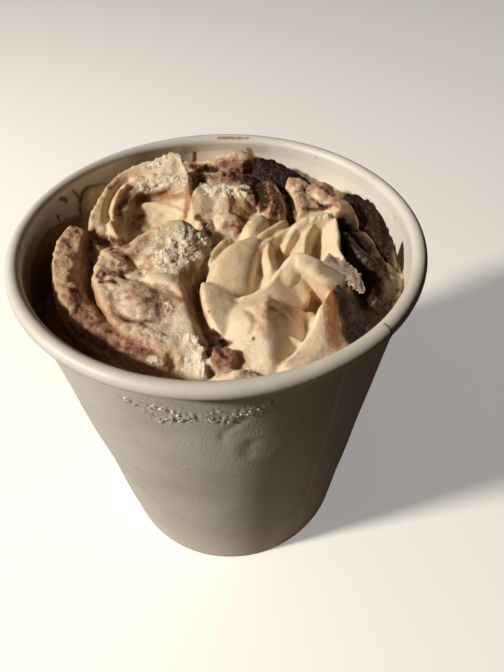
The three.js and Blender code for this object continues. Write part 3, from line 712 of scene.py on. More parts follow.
def crest_folds():
    """The pillars under the crest, thin folds beside them and the scraps at the front."""
    return [
        fold([(28.5, 8, -2), (28.5, 1, -2.5), (28, -4, -3), (29.5, -9, -3.5)],
             (1.6, 8, 1.4), (4.5, 6, 1.1), ends=(2, 2), ribs=0.08, seed=37),
        fold([(23.5, 6.5, -3), (21.5, 3, -4), (20.5, -1.5, -4), (20, -5.5, -4.5)],
             (2, 5, 1.2), (2.8, 4, 1.2), ends=(2, 2), ribs=0.08, seed=38),
        fold([(17.5, 5, -4), (21.5, 7.5, -3), (28.5, 9, -2)],
             (2.4, 4, 1.8), (3, 5, 1.6), rough=0.3, torn=0.2, seed=39),
        fold([(19.5, 6, -4), (17.5, 3, -4.5), (15.5, -0.5, -6)],
             (1.6, 3, 1.4), (1.8, 3, 1.4), ends=(2, 3), seed=40),
        fold([(11.5, 13, -5), (8.5, 9.5, -5), (7, 5.5, -6.5)],
             (3, 4, 1.8), (3, 4, 1.8), ribs=0.12, seed=41),
        fold([(17, 11, -5), (12.5, 6.5, -5), (9, 3, -5.2)],
             (1.8, 3, 1.5), (1.8, 3, 1.5), ribs=0.12, seed=42),
        fold([(18.5, 8, -5), (14.5, 4.5, -5.5), (13, 1, -6.5)],
             (1.6, 3, 1.5), (1.6, 3, 1.5), ribs=0.12, seed=43),
        fold([(-5.6, -28.5, -4.6), (-3, -31, -5.4), (-1.7, -33.8, -6.5), (-1.5, -38, -8)],
             (1, 6, 1.2), (5.5, 2.6, 0.9), ends=(3, 1.5), rough=0.3, torn=0.9, seed=44),
        fold([(-13, -36.8, -8.2), (-8, -38.6, -8.4), (-2, -39.3, -8.6)],
             (1.5, 3, 1.5), (1.5, 3, 1.5), rough=0.2, seed=57),
        lump((1.8, -33.4, -6.5), (4.4, 4.2, 6), rough=0.5, seed=45),
        lump((5, -38, -7.2), (6, 2.6, 5), rough=0.4, seed=46),
        fold([(30.5, 5, -4), (31.5, 0.5, -5), (36, -5, -6), (37, -11, -7), (35.5, -18, -8)],
             (3, 4, 1.6), (2.6, 4, 1.6), rough=0.3, seed=52),
        fold([(32, 8, -6), (35, 3.5, -6.3), (36.5, -2, -7), (37.5, -8, -8)],
             (4, 3, 1.7), (3, 3, 1.7), rough=0.4, seed=58),
        lump((31.8, -3, -7), (3, 6, 5), rough=0.4, seed=59),
        lump((40.5, -7, -8), (3.2, 9, 8), rough=0.3, seed=47),
        lump((33.5, -21, -9), (5, 8, 6), turn=20, rough=0.4, seed=48),
    ]


FURROWS = [  # left deeper than the bed by the spatula: path, width, depth
    ([(-31, 2), (-32, -6), (-30, -14), (-25, -21), (-18, -28)], 2.5, 2.5),
    ([(-4, 2), (-3.5, -6), (-4, -14), (-2.5, -22), (0, -29)], 3, 5.5),
    ([(17.5, 12), (17, 18), (18, 24)], 2.5, 5),
    ([(20, -14), (23.5, -13), (24.5, -16)], 3, 6),
    ([(20, -20), (17.5, -28), (14, -34)], 2, 3),
    ([(33, 4), (33, -3), (33, -12)], 2.5, 1.5),
    ([(-22, 13), (-16, 12), (-11, 11)], 4, 2),
]
# How high the gelato stands at the wall: degrees from the right, height from the rim.
WALL_LEVELS = [(-180, -17), (-150, -16), (-110, -11), (-60, -10), (-10, -10), (11, -13),
               (35, -9), (80, -7), (141, -7), (160, -13), (180, -17)]


def eased(x, low, high):
    t = np.clip((x - low) / (high - low), 0, 1)
    return t * t * (3 - 2 * t)


def wall_level(azimuth):
    level = np.full(len(azimuth), float(WALL_LEVELS[0][1]))
    for (a1, z1), (a2, z2) in zip(WALL_LEVELS, WALL_LEVELS[1:]):
        level += (z2 - z1) * eased(azimuth, a1, a2)
    return level


def bed():
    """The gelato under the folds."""
    sectors, rings = 200, 75
    angles = 2 * np.pi * np.arange(sectors) / sectors
    radii = np.linspace(0, 45, rings + 1)[1:]
    x = np.concatenate([[0], (radii[:, None] * np.cos(angles)).ravel()])
    y = np.concatenate([[0], (radii[:, None] * np.sin(angles)).ravel()])
    at_wall = eased(np.hypot(x, y), 28, 43)
    level = wall_level(np.degrees(np.arctan2(y, x)))
    z = CUP_HEIGHT - BED_DEPTH + 0.5 * np.sin(x / 3.1) * np.cos(y / 3.7)
    z += at_wall * (level + BED_DEPTH)
    places = np.stack([x, y], 1)
    for path, width, depth in FURROWS:
        z -= depth * np.exp(-((nearness(path, places)[0] / width) ** 2))
    points = np.stack([x, y, z], 1)
    points[:, 2] += 0.9 * waver(points, 4, 61) + 0.5 * waver(points, 1.8, 62)
    base = points.copy()
    base[:, 2] = BED_FLOOR
    inner = range(rings - 1)

    def at(ring, sector):
        return 1 + ring * sectors + sector % sectors

    top = [(0, at(0, j), at(0, j + 1)) for j in range(sectors)]
    top += [(at(i, j), at(i + 1, j), at(i + 1, j + 1), at(i, j + 1)) for i in inner
            for j in range(sectors)]
    count = len(points)
    low = [tuple(count + v for v in reversed(face)) for face in top]
    rim = [(at(rings - 1, j), count + at(rings - 1, j), count + at(rings - 1, j + 1),
            at(rings - 1, j + 1)) for j in range(sectors)]
    return mesh_piece("bed", within_cup(np.vstack([points, base])), top + low + rim)


def united(pieces, name, voxel):
    """Several overlapping solids as one."""
    only(pieces[0])
    for piece in pieces:
        piece.select_set(True)
    bpy.ops.object.join()
    whole = bpy.context.object
    whole.name = whole.data.name = name
    applied(whole, "REMESH", mode="VOXEL", voxel_size=voxel * MM, use_smooth_shade=True)
    return whole


gelato = united([bed(), *left_banks(), *nested_petals(), *back_scoops(), *shell_folds(),
                 *crest_folds()], "gelato_folds", VOXEL)
applied(gelato, "SMOOTH", factor=0.5, iterations=2)



def from_rim(points):
    """Places with their heights from the rim, as the strokes on the gelato have them."""
    return points - (0, 0, CUP_HEIGHT)


# What the spatula pressed in and pulled up on the folds: height, width, path.
PRESSED = [
    (-0.9, 0.6, [(-21.5, -11, -5.5), (-20, -11.5, -5.5), (-18, -12, -6), (-17, -12.5, -6)]),
    (0.8, 2.4, [(-20, -16, -5), (-18.5, -19, -4.5), (-17, -21, -4.5)]),
    (-0.5, 1.2, [(-36.5, 5, -5), (-36, 1, -5), (-36, -3, -5)]),
    (0.6, 0.9, [(-34.5, 3.5, -5.5), (-33.8, 0, -5.5), (-34, -4, -6), (-33.5, -8, -6)]),
    (0.5, 1.4, [(-15, -12.5, -4.5), (-12.5, -13, -4.5), (-10.5, -14, -5), (-9, -15.5, -5)]),
    (-0.5, 0.7, [(-14.5, -15, -5), (-13, -15.5, -5), (-11, -17, -5), (-9, -18, -5)]),
    (-0.3, 0.8, [(-19.5, -24, -5), (-18, -25, -5.5), (-15, -25.5, -5.5), (-13, -25, -5.5),
                 (-10.5, -23.5, -5.5)]),
    (0.5, 0.8, [(-19.5, -26, -5), (-18, -26.5, -5.5), (-15, -27, -5.5), (-12.5, -27, -6),
                (-10, -26, -6.5)]),
    (-0.5, 0.6, [(-35, -2.5, -6.5), (-35.5, -6, -6), (-36, -8, -6)]),
    (-0.7, 0.5, [(-34.5, 5, -6), (-36, 5, -6), (-38, 4, -6)]),
    (0.8, 1.9, [(-28, -19.5, -8.5), (-26, -23.5, -7), (-24, -26.5, -7)]),
    (-0.6, 1.0, [(-31, -16, -7), (-30.5, -18.5, -7), (-29.5, -21.5, -6.5)]),
    (-1.3, 0.9, [(-29, 11.5, -6), (-30, 15.5, -5), (-30, 19, -4.5), (-29, 23, -4), (-28, 25.5, -3.5),
                 (-26, 27.5, -3.5)]),
    (0.7, 0.6, [(-28, 12, -5.5), (-28.5, 15.5, -5.5), (-28, 18.5, -4.5), (-27.5, 22, -4),
                (-26, 24, -3.5)]),
    (0.8, 1.1, [(-22, 25.5, -4), (-19.5, 26, -3.5), (-16, 26, -3), (-12.5, 25.5, -3), (-10.5, 25.5, -3)]),
    (-1.2, 0.9, [(-23.5, 22.5, -7), (-21.5, 23.5, -7), (-18.5, 23.5, -7), (-16, 24, -6),
                 (-11, 23.5, -4)]),
    (0.5, 1.0, [(-18, 33.5, -1.5), (-14, 35.5, -0.5), (-12, 33.5, 0)]),
    (-0.8, 0.6, [(22.5, 24, -4.5), (24, 19.5, -4), (27, 16.5, -5.5)]),
    (0.7, 1.8, [(25, 24.5, -4.5), (27, 23.5, -3.5), (28.5, 23, -4)]),
    (-1.0, 0.9, [(5.5, 21.5, -4.5), (7, 19.5, -5.5), (9, 19.5, -7.5)]),
    (-1.0, 0.8, [(17.5, 27, -8), (19, 21.5, -7.5), (19.5, 17, -7.5)]),
    (0.35, 0.8, [(10.5, -20.5, -5.5), (12, -18, -7), (13.5, -17, -8.5)]),
    (-0.3, 0.6, [(10.5, -24, -5.5), (12.5, -23.5, -6.5), (14.5, -21, -7.5)]),
    (-0.45, 0.6, [(6, -21, -6), (8, -23, -6), (8.5, -25.5, -6.2), (7.5, -27.5, -6.5)]),
    (1.2, 1.4, [(-3.5, -30, -10.5), (-2.5, -29, -10)]),
]
# Smears of chocolate ripple, thin enough for the vanilla to show, and one smear of painted shade by
# the wall beside the slab: strength, width, path.
SMEARS = [
    (0.75, 1.6, [(-36, 6, -6), (-37, 4.5, -5.5), (-38, 4, -6)]),
    (0.5, 1.8, [(-38.5, 5, -6), (-38.5, 2, -6.5), (-38.5, -1.5, -6)]),
    (0.9, 0.6, [(-35, -3, -5), (-35.5, -6, -4.8), (-35.6, -9, -4.8)]),
    (1.15, 1.5, [(-31, -16.5, -4.6), (-30, -19, -4.6), (-28.4, -22, -4.8), (-26.5, -24.5, -5.2)]),
    (1.0, 1.5, [(-31.5, -14.5, -7.5), (-31, -17, -7), (-30, -21, -6.5), (-29, -23.5, -6.5)]),
    (0.9, 1.4, [(-29.5, -17, -9.5), (-27.5, -22, -7)]),
    (0.7, 2.2, [(-27.5, -24.5, -6.5), (-25, -27, -6.5), (-23, -29, -7)]),
    (0.8, 1.6, [(-31.5, -22, -7), (-29.5, -25, -8), (-26, -27.5, -8), (-22.5, -30, -7.5)]),
    (0.9, 2.2, [(-19.5, -30.5, -7.5), (-17, -31, -7), (-14.5, -32, -7.5), (-13, -33.5, -7)]),
    (0.45, 4.0, [(-21, -18, -4.5), (-17, -21, -4.5), (-14, -20, -4.5)]),
    (0.8, 1.4, [(-34.5, 4.5, -7.5), (-34, 2.5, -8.5), (-32, 1.5, -8)]),
    (0.9, 1.5, [(-31.5, 2, -7.5), (-30, 6.5, -8.5), (-28, 6, -9), (-25, 5.5, -8.5)]),
    (0.75, 2.2, [(-26.5, 0, -6.5), (-23.5, -4.5, -5), (-21.5, -5, -5), (-20.5, -4, -5.5)]),
    (1.0, 0.8, [(-21.5, -4, -5.5), (-22, -6.5, -5), (-22.5, -7.5, -5.5)]),
    (0.9, 1.0, [(-27, 3.5, -7.5), (-24.5, 2, -6), (-22, -1, -4.5)]),
    (1.0, 1.1, [(-26.5, -11.5, -5), (-26, -10, -5), (-24, -10.5, -5), (-22.5, -11, -5),
                (-22, -9.5, -5.5)]),
    (0.95, 0.9, [(-26, -13.5, -5), (-24.5, -13.5, -5), (-23, -14, -5)]),
    (0.8, 1.0, [(-21, -9.5, -5.5), (-20, -8.5, -6), (-18, -7, -6.5)]),
    (1.1, 0.6, [(-21.5, -11, -5.5), (-20, -11.5, -5.5), (-18, -12, -6), (-17, -12.5, -6)]),
    (0.45, 1.6, [(-17, -13.5, -6), (-16, -17, -4.5), (-17, -19, -4), (-16.5, -21, -4)]),
    (0.65, 2.0, [(-14.5, -16.5, -4.5), (-13, -17.5, -5), (-10.5, -19.5, -5.5), (-10, -22.5, -5.5)]),
    (0.7, 1.3, [(-13, -18.5, -5), (-12, -21, -5), (-12, -23.5, -5)]),
    (0.7, 0.9, [(-13.5, -15, -5), (-11, -16, -5), (-9, -18, -5), (-7.5, -19.5, -5)]),
    (0.7, 0.9, [(-19.5, -24.5, -5), (-17.5, -25.5, -5.5), (-15, -25.5, -5.5), (-12.5, -25, -5.5),
                (-10.5, -23.5, -5.5)]),
    (0.4, 1.2, [(-18, -27, -5.5), (-15, -27, -5.5), (-12.5, -27.5, -6), (-11, -28.5, -6)]),
    (0.6, 1.0, [(-22, -23, -5), (-20.5, -25, -5), (-19, -26.5, -5.5)]),
    (0.45, 1.6, [(-19.5, -2.5, -5), (-17, -6, -4.5), (-15.5, -5, -4.5), (-14.5, -4, -4)]),
    (0.5, 1.2, [(-17, -7, -6), (-14, -8.5, -5.5), (-11.5, -8.5, -5)]),
    (0.8, 1.5, [(-8.5, 4, -3.5), (-7, 3.5, -4)]),
    (0.8, 1.5, [(-5.5, 9, -9.5), (-4.5, 10, -8.5)]),
    (0.6, 1.3, [(-8, 1, -4), (-6.5, 0.5, -4), (-5.5, -1.5, -5)]),
    (0.6, 1.1, [(-30.5, 23, -3.5), (-30, 25.5, -3.5), (-29, 27, -3)]),
    (0.8, 0.8, [(-22, 32, -2.5), (-20, 31, -2), (-19.5, 32.5, -1.5)]),
    (0.7, 1.3, [(-25.5, 19.5, -5.5), (-27, 17.5, -5.5), (-27, 16, -6), (-27.5, 13.5, -5.5),
                (-26, 16, -6.5)]),
    (0.8, 0.6, [(-25.5, 20, -5.5), (-24.5, 22.5, -5)]),
    (0.5, 1.2, [(-26.5, 20.5, -5), (-25, 24, -4.5), (-23, 25.5, -3.5)]),
    (0.45, 3.0, [(-25, 14, -9), (-23.5, 18, -9.5), (-21, 18.5, -9.5), (-23, 14, -10)]),
    (0.35, 2.0, [(-15.5, 23.5, -6.5), (-13.5, 22, -6), (-10.5, 22, -4.5)]),
    (0.5, 1.6, [(-9.5, 24.5, -2.5), (-10, 22.5, -4), (-9, 19, -5.5)]),
    (0.8, 1.4, [(-32.5, 7.5, -7), (-30.5, 6.5, -8), (-27, 5.5, -8), (-24.5, 5.5, -8.5)]),
    (1.35, 1.6, [(-9.5, 41.5, -7), (-7, 39, -7), (-5, 36, -5.5), (-2.5, 34.5, -5)]),
    (1.2, 1.3, [(-6.5, 30.5, -4.5), (-5, 30, -4.5), (-6, 29, -5)]),
    (1.5, 2.6, [(3, 30.5, -4.5), (5.5, 30, -5), (8, 28.5, -5.5), (9, 25.5, -6), (9.5, 22.5, -6.5)]),
    (1.3, 1.9, [(2.5, 33.5, -5), (5.5, 33, -5), (8, 35, -6.5)]),
    (0.6, 2.0, [(-3.5, 30, -4.5), (-1, 30, -4.5), (1, 29, -5.5)]),
    (0.85, 2.4, [(-0.5, 36, -4), (2.5, 35.5, -3.5), (5.5, 34.5, -3.5), (8, 35.5, -4.5)]),
    (1.0, 0.8, [(2, 41.5, -4), (5, 41, -3.5), (8, 39.5, -3.5), (10, 38, -3.5)]),
    (1.05, 2.6, [(12.5, 24, -4.5), (14, 21, -5), (15, 17.5, -6), (13.5, 14.5, -6.5)]),
    (0.9, 1.2, [(11.5, 27.5, -5), (14, 28, -5), (16, 28.5, -7)]),
    (0.55, 2.4, [(19, 28, -4.5), (20.5, 23, -4.5), (21, 17.5, -5)]),
    (0.65, 3.2, [(24, 24.5, -4), (27, 23, -3.5), (29.5, 20.5, -4)]),
    (1.1, 1.0, [(26.5, 22, -3.5), (28, 22.5, -4), (29.5, 19.5, -4)]),
    (0.5, 1.8, [(21.5, 20.5, -4.5), (22.5, 17.5, -5), (23.5, 17, -6)]),
    (1.2, 0.7, [(21.5, 16.5, -6), (24.5, 16.5, -6.5), (27, 16.5, -6), (28.5, 16, -5)]),
    (0.8, 2.2, [(30.5, 17, -4), (32, 14.5, -4), (32.5, 11, -4.5)]),
    (0.35, 1.6, [(-4.5, 17, -6.5), (-2.5, 17.5, -7.5)]),
    (0.7, 1.6, [(1, 10.5, -7.5), (3, 11, -7.5), (5, 11, -8.5), (4, 9.5, -9)]),
    (0.9, 0.8, [(-4.5, 11.5, -7.5), (-3.5, 10.5, -8)]),
    (0.6, 1.7, [(-17.7, 1.6, -4.3), (-19.1, -2.5, -4.8), (-20.4, -6.7, -5)]),
    (0.85, 1.5, [(-7.4, 6.2, -3.6), (-3.9, 2.1, -4.2)]),
    (0.4, 1.6, [(7, -22.5, -6), (8.5, -24.5, -6), (8.5, -26.5, -6.2)]),
    (0.45, 1.2, [(9, -22, -5.8), (11, -24.5, -5.5), (12.5, -25.5, -7)]),
    (0.9, 0.35, [(-1.5, -21.5, -6.5), (-1.5, -21.8, -6.5)]),
    (0.9, 0.35, [(8, -29, -7), (8, -29.5, -7)]),
    (0.55, 1.2, [(10.5, -23, -5.5), (12, -21.5, -6), (14, -21, -7.5)]),
    (0.3, 1.6, [(24.5, -24, -6), (24, -28.5, -7.5), (25, -30.5, -8.5)]),
    (0.35, 1.2, [(18.5, -32.5, -7.5), (15.5, -34.5, -8), (13, -35.5, -9)]),
    (1.0, 2.2, [(0.3, -31.5, -6.8), (1.2, -33, -6.4), (2.5, -34.5, -6.8)]),
    (0.8, 1.2, [(-1, -31, -8), (-0.2, -34, -8.5), (0, -36.5, -9)]),
    (0.6, 1.2, [(0, -34.5, -8), (2, -36, -7.5), (3, -37, -8)]),
    (0.7, 1.3, [(-14.5, -34.5, -8), (-12, -35.5, -8), (-11, -35.5, -7.5)]),
    (0.8, 0.5, [(0.5, -26.5, -9), (2.5, -28.5, -9), (3.5, -29, -8.5)]),
    # Painted shade: this smear darkens the low gelato at the wall beside the slab.
    (1.2, 2.8, [(38, -8.5, -7), (37.5, -12.5, -7.5), (38, -15.5, -8.5)]),
    (0.5, 1.2, [(41.5, -2.5, -7.5), (42, -5, -7.5), (42, -7, -9)]),
]
# Nearly pure chocolate, and painted dark shade, in the grooves, in the gap at the left wall and on the
# shaded side of the crest.
CHOCOLATE_AND_SHADE = [
    (1.6, 1.7, [(9.5, 31.5, -6), (10.5, 26, -5.5), (11, 21, -5.5), (11, 18.5, -6.5)]),
    (1.1, 1.5, [(-9.9, 38, -5.5), (-7, 34.5, -5), (-4.5, 33.5, -4.8), (-2.5, 33.9, -4.5)]),
    (1.1, 1.3, [(17.5, 25.5, -8), (18.5, 21.5, -8.5), (19, 17.5, -9), (19, 17, -10.5)]),
    (1.1, 1.0, [(-9.5, 41, -7), (-8, 38.5, -6), (-5.5, 37, -5.5), (-3, 35, -5)]),
    (1, 2.5, [(8.5, 42, -6), (13, 38.5, -6), (18, 34.5, -6)]),
    (0.8, 0.8, [(24, 19, -5), (26, 17, -5.5), (27.5, 16.5, -5.5)]),
    (0.8, 0.9, [(-6.5, 15.5, -8), (-4, 11.5, -7.5), (-3, 8.5, -8.5)]),
    (1.1, 2.5, [(30.5, 9.5, -7), (31, 2.5, -4.5), (32, -1, -5.5)]),
    (1.1, 3.0, [(34, 3.5, -7.5), (36, -0.5, -7.5), (36, -6.5, -6), (36, -10.5, -8)]),
    (1.1, 2.5, [(34, -4, -6.5), (35, -8, -8.5), (35.5, -14, -8), (35.5, -18, -9.5)]),
    (1.2, 3.4, [(34.5, -16.5, -9), (35, -20, -9.5), (32.5, -24, -9.5), (31, -27, -10)]),
    (1.0, 2.4, [(37.5, -14, -9.5), (38, -18, -10), (36, -22, -10)]),
    (1.3, 3.2, [(31.5, 9.5, -6), (33.5, 4, -6.3), (36, -2, -7), (37, -7, -8)]),
    (1.3, 3.0, [(31, 3, -6), (31.5, -3, -6.5), (33, -8, -8)]),
    (1.1, 1.2, [(30.5, 9.5, -6.5), (29.5, 2.5, -4.5), (30.5, -0.5, -6.5), (32, -3.5, -7.5)]),
    (1.1, 3.0, [(33, 6, -9), (33, -4, -10), (34, -14, -11)]),
    (1.2, 2.4, [(27.5, -17, -4.5), (28, -18, -5.5), (28, -20.5, -6.5), (28.5, -23, -7.5)]),
    (1.2, 2.8, [(30.5, -18, -4.5), (31, -19, -7.5), (30, -22.5, -8), (29, -26, -9)]),
    (0.7, 1.0, [(41.5, -9.5, -9), (41.5, -11.5, -9.5), (40, -15, -10)]),
    (0.8, 1.0, [(-33.5, 3.5, -7.5), (-31.5, 5, -7), (-28.5, 6, -7.5), (-26.5, 5.5, -8)]),
    (0.8, 1.1, [(-33, 2, -11), (-33, -1.5, -13), (-32, -8, -14)]),
    (0.8, 1.2, [(-25, -21, -9), (-22, -25.5, -9), (-18, -29, -8.5)]),
    (0.4, 1.3, [(-6.5, -8, -10), (-6.5, -12.5, -11), (-4.5, -19, -10.5), (-2.5, -25, -11)]),
    (1, 0.8, [(-0.5, -25.5, -9), (1, -27.5, -9), (2.5, -29, -9)]),
]
SHEEN = [  # grey gleams along the wet chocolate
    (1.4, 0.7, [(29.8, -19, -6), (29.6, -24, -7.5)]),
    (0.7, 0.3, [(28.7, -19.5, -6), (28.6, -23, -7.5)]),
]
# Chocolate soaked thinly into the vanilla, a warm brown, and painted warm-brown shade on flanks and
# in grooves turned from the light.
AMBER_AND_SHADE = [
    (1.0, 1.6, [(-33.5, 3, -9), (-33, 1, -11), (-33, -0.5, -13)]),
    (0.9, 1.5, [(-33.5, -0.5, -9.5), (-33, -3.5, -10.5), (-33, -5, -13)]),
    (0.9, 1.4, [(-27.5, -13, -7), (-26, -16.5, -6.5), (-24, -20.5, -6.5), (-21.5, -25, -6.5)]),
    (0.9, 1.3, [(-21.5, -25.5, -6.5), (-19, -28, -7), (-16, -30, -6.5)]),
    (1.0, 1.8, [(-24.5, 20, -6), (-23, 23, -6.5), (-19.5, 24, -6.5), (-15.5, 23.5, -6.5),
                (-11, 22, -5.5)]),
    (0.8, 1.8, [(-25.5, 12, -9), (-24.5, 18.5, -7.5), (-23.5, 21.5, -7.5)]),
    (1.1, 1.2, [(-9.5, 22.5, -3.5), (-9, 19.5, -5), (-9.5, 17.5, -6.5)]),
    (1.1, 2.6, [(3, 19.5, -5.5), (4, 18, -7), (5.5, 17, -9), (6.5, 18, -8)]),
    (0.7, 1.6, [(1.5, 11, -7), (3.5, 11, -7), (5.5, 11, -8.5)]),
    (0.7, 2.2, [(25, -15.5, -4.5), (25, -18.5, -5)]),
    (0.5, 1.6, [(23.5, -30, -8), (21, -33, -8.5), (18.5, -35.5, -9)]),
    (0.45, 1.6, [(-35.5, 5, -4.6), (-35.8, -1, -4.6), (-34.2, -5.5, -4.8)]),
    (1.25, 2.0, [(-33, 6, -7), (-33.2, 2, -7), (-31.6, -4, -7), (-29.5, -12, -7), (-26.7, -18.4, -7.5),
                 (-23, -24.5, -7.5), (-19.6, -28.4, -8)]),
    (1.3, 2.2, [(25.3, -16.5, -5), (24.8, -21, -5.5), (24.6, -25, -6.5), (24.8, -29, -7.5)]),
    (1.0, 1.7, [(-6, -6, -7), (-6, -6, -9), (-6, -8, -11), (-4.5, -16.5, -9), (-2.5, -22, -8.5)]),
    (1.3, 2.2, [(-5.6, -7, -7), (-6.2, -12, -7), (-5.6, -18, -7.5), (-4, -23, -8)]),
    (0.7, 1.3, [(8.5, -25, -6), (10, -27, -6), (10.5, -29, -6.5)]),
    (0.6, 2.0, [(11, -16, -8), (13, -18.5, -8), (14.5, -22, -8)]),
    (0.7, 1.4, [(1.5, -30.5, -10), (4, -34.5, -7.5), (5.5, -34.5, -9)]),
    (0.5, 2.2, [(27, 4, -8), (27, -2, -8), (27, -8, -7)]), (0.4, 2.5, [(17, 0, -8), (16, -6, -8)]),
]
# Torn places, crumbly and white with ice.
FROST = [
    (1.1, 1.6, [(-22.5, 25, -4.5), (-20, 25.5, -4.5), (-16.5, 26, -3.5), (-13.5, 25.5, -3.5),
                (-10.5, 25.5, -3)]),
    (1, 1.4, [(-18.5, 33, -1.5), (-16, 34, -1), (-14, 35.5, -0.5), (-12, 33.5, -0.5)]),
    (0.8, 1.2, [(-21.5, 32, -2.5), (-18.5, 31.5, -1.5), (-17, 32.5, -1.5)]),
    (0.6, 1.2, [(-16, -4, -4.8), (-15, -1.5, -4), (-14, 1, -3.5)]),
    (1.0, 2.0, [(-14, -5.5, -4.8), (-12, -4, -4), (-11, -0.5, -3.8), (-11, 2, -3.4)]),
    (1.1, 2.4, [(-12, -8, -5), (-9.5, -5.5, -4.5), (-8.5, -2, -4.2), (-8.5, 1, -3.8), (-8, 3.5, -3.4)]),
    (0.9, 2.0, [(-7, -7.5, -5), (-5, -4.5, -5.2), (-4, 0, -5.5), (-4.5, 5, -4.6)]),
    (0.45, 1.4, [(-17.5, -6, -5), (-17, -3.5, -4.8)]),
    (0.8, 0.9, [(-10, -20.5, -5.5), (-9.5, -21.5, -5.5)]),
    (0.6, 1.0, [(-18.5, -9, -6), (-17.5, -8, -6), (-16.5, -9.5, -6)]),
    (1.1, 2.2, [(-8.5, 27, -4.5), (-5, 25.5, -4.5), (-2, 23, -3.5), (1, 22.5, -3.5), (4, 22, -4.5)]),
    (0.7, 1.6, [(-4, 22, -4.5), (-1, 21, -4.5), (1.5, 20.5, -4.5)]),
    (1.2, 1.0, [(5, 25.5, -5), (6.5, 25.5, -5)]),
    (0.6, 0.7, [(-3.5, 11.5, -7.5), (-3, 10.5, -8)]),
    (0.7, 1.2, [(22, 7, -3.5), (24.5, 8, -3), (27, 8.5, -2.5)]),
    (1.2, 1.5, [(-5.4, -28.6, -5), (-3, -31, -5.6), (-1.8, -34, -6.8), (-1.6, -37.5, -8)]),
    (0.85, 2.6, [(-3.5, -33, -6.5), (-5, -35, -7.5)]),
    (0.9, 1.2, [(-13, -35, -7.5), (-12, -34.5, -7), (-11, -35, -7)]),
    (0.6, 0.8, [(3.5, -37.5, -7), (5.5, -37.5, -7), (8.5, -36, -9)]),
]
# Browner, wetter gelato: the crescent bank, the chunks at the back and at the front.
TANNED = [
    (0.9, 4.5, [(-37, 9.5), (-36.5, -5.5), (-32, -19), (-22.5, -28.5), (-8, -35)]),
    (0.6, 3.0, [(-27, -4.5), (-27.5, -10), (-25.5, -16), (-21.5, -23)]),
    (0.45, 6, [(7, 0), (3, -8), (2.5, -14)]),
    (0.8, 4.5, [(-4, 36), (3, 33), (10, 32), (14, 24), (14, 14)]),
    (0.2, 3.5, [(19, 30), (21, 20)]), (0.2, 4, [(26, 22), (32, 14)]), (0.6, 3.5, [(2, 14), (8, 10)]),
    (0.9, 3.5, [(2.5, -34.5), (5, -34.5)]), (1, 4, [(40, -8), (37, -16)]),
    (0.6, 2.5, [(-30, 10), (-31, 18), (-28, 28), (-20, 32)]),
]
# Thin gelato, grey with the chocolate that shows through, and painted grey shade where it turns from
# the light: the end of the crest, the wall side.
GREYED_AND_SHADE = [
    (0.55, 2.6, [(20.7, -10, -2), (24, -11.5, -2.2)]),
    (1.2, 3.2, [(24.5, -12, -2.4), (28, -14.5, -3), (32, -17.5, -4)]),
    (0.9, 2.2, [(41.5, -6, -8), (41, -9, -8), (40.2, -13, -8.5)]),
    (0.5, 2.4, [(32.5, 15, -4.5), (33.5, 10, -4.5)]), (0.6, 2.4, [(22, 20, -4.5), (23, 16, -6)]),
]
# Paler, richer gelato on the crest, the pillow and the front folds.
PALE = [
    (0.8, 3, [(14.5, -13), (17.5, -9.5), (20, -9.8)]), (0.5, 2, [(27, 4.5), (26.5, -5)]),
    (0.8, 2.5, [(11, -16.5), (13.5, -15), (16, -12)]),
    (0.7, 2.6, [(-20.5, -16), (-19.5, -20), (-17, -22.5)]),
    (0.6, 1.6, [(-15, -12.5), (-12, -13.5), (-9.5, -15)]),
    (1, 4, [(-15, -28), (-11, -29), (-8, -27), (-7, -24.5)]),
    (0.7, 3, [(-11, -23), (-9, -27)]),
    (0.95, 4.5, [(2, -24), (6.5, -28.5), (9.5, -27.5), (10.5, -33.5)]),
    (1, 3.5, [(21.5, -24), (20, -29), (18, -33)]),
    (0.8, 1.2, [(4, -37.5), (7, -37)]), (0.6, 3, [(-16, 32), (-13, 28)]),
    (0.8, 1.5, [(-4, -35), (-3, -30)]),
]
SATIN = [  # where the spatula left the gelato smooth
    (1, 8, [(4, 0), (3, -9), (3, -16)]), (1, 6, [(12, 6), (12, -8)]), (1, 7, [(15, -12), (24, -11)]),
    (1, 9, [(0, -18), (6, -24)]), (1, 8, [(14, -20), (12, -34)]), (1, 6, [(28, 6), (28, -6)]),
    (1, 5, [(22, 4), (20, -5)]), (1, 5, [(20, -28), (15, -34)]), (1, 4, [(-14, -12), (-8, -14)]),
    (1, 6, [(-24, 16), (-13, 16)]), (1, 4, [(-30, 26), (-20, 32)]), (1, 2.5, [(-20, -18), (-17, -22)]),
]

# Below the folds the mass only has to reach down to the bottom disc.
DISC_TOP = 7.9


def below_folds(at, normal):
    return at.z < BED_FLOOR + 0.9


open_with(gelato, below_folds)
bpy.ops.mesh.delete(type="FACE")
bpy.ops.mesh.select_mode(type="EDGE")
bpy.ops.mesh.select_non_manifold(use_wire=False, use_multi_face=False, use_non_contiguous=False)
drop = (0, 0, (DISC_TOP - BED_FLOOR) * MM)
narrowed = wall_inside(DISC_TOP) / wall_inside(BED_FLOOR)
bpy.ops.mesh.extrude_region_move(TRANSFORM_OT_translate={"value": drop})
bpy.ops.transform.resize(value=(narrowed, narrowed, 1), center_override=(0, 0, 0))
bpy.ops.mesh.edge_face_add()
bpy.ops.mesh.select_all(action="SELECT")
bpy.ops.mesh.normals_make_consistent(inside=False)
bpy.ops.object.mode_set(mode="OBJECT")

points = points_of(gelato)
plan = points[:, :2]
on_folds = from_rim(points)
smears = painted(on_folds, SMEARS, 0.9)
chocolate = painted(on_folds, CHOCOLATE_AND_SHADE, 0.6)
frost = painted(on_folds, FROST, 0.5)
tanned = painted(plan, TANNED)
satin = painted(plan, SATIN) * (1 - frost)
# Painted shade: warmer brown the deeper a place lies between the folds.
soaked_and_deep_shade = 0.8 * eased(-on_folds[:, 2], 9.5, 14)  # deep between the folds

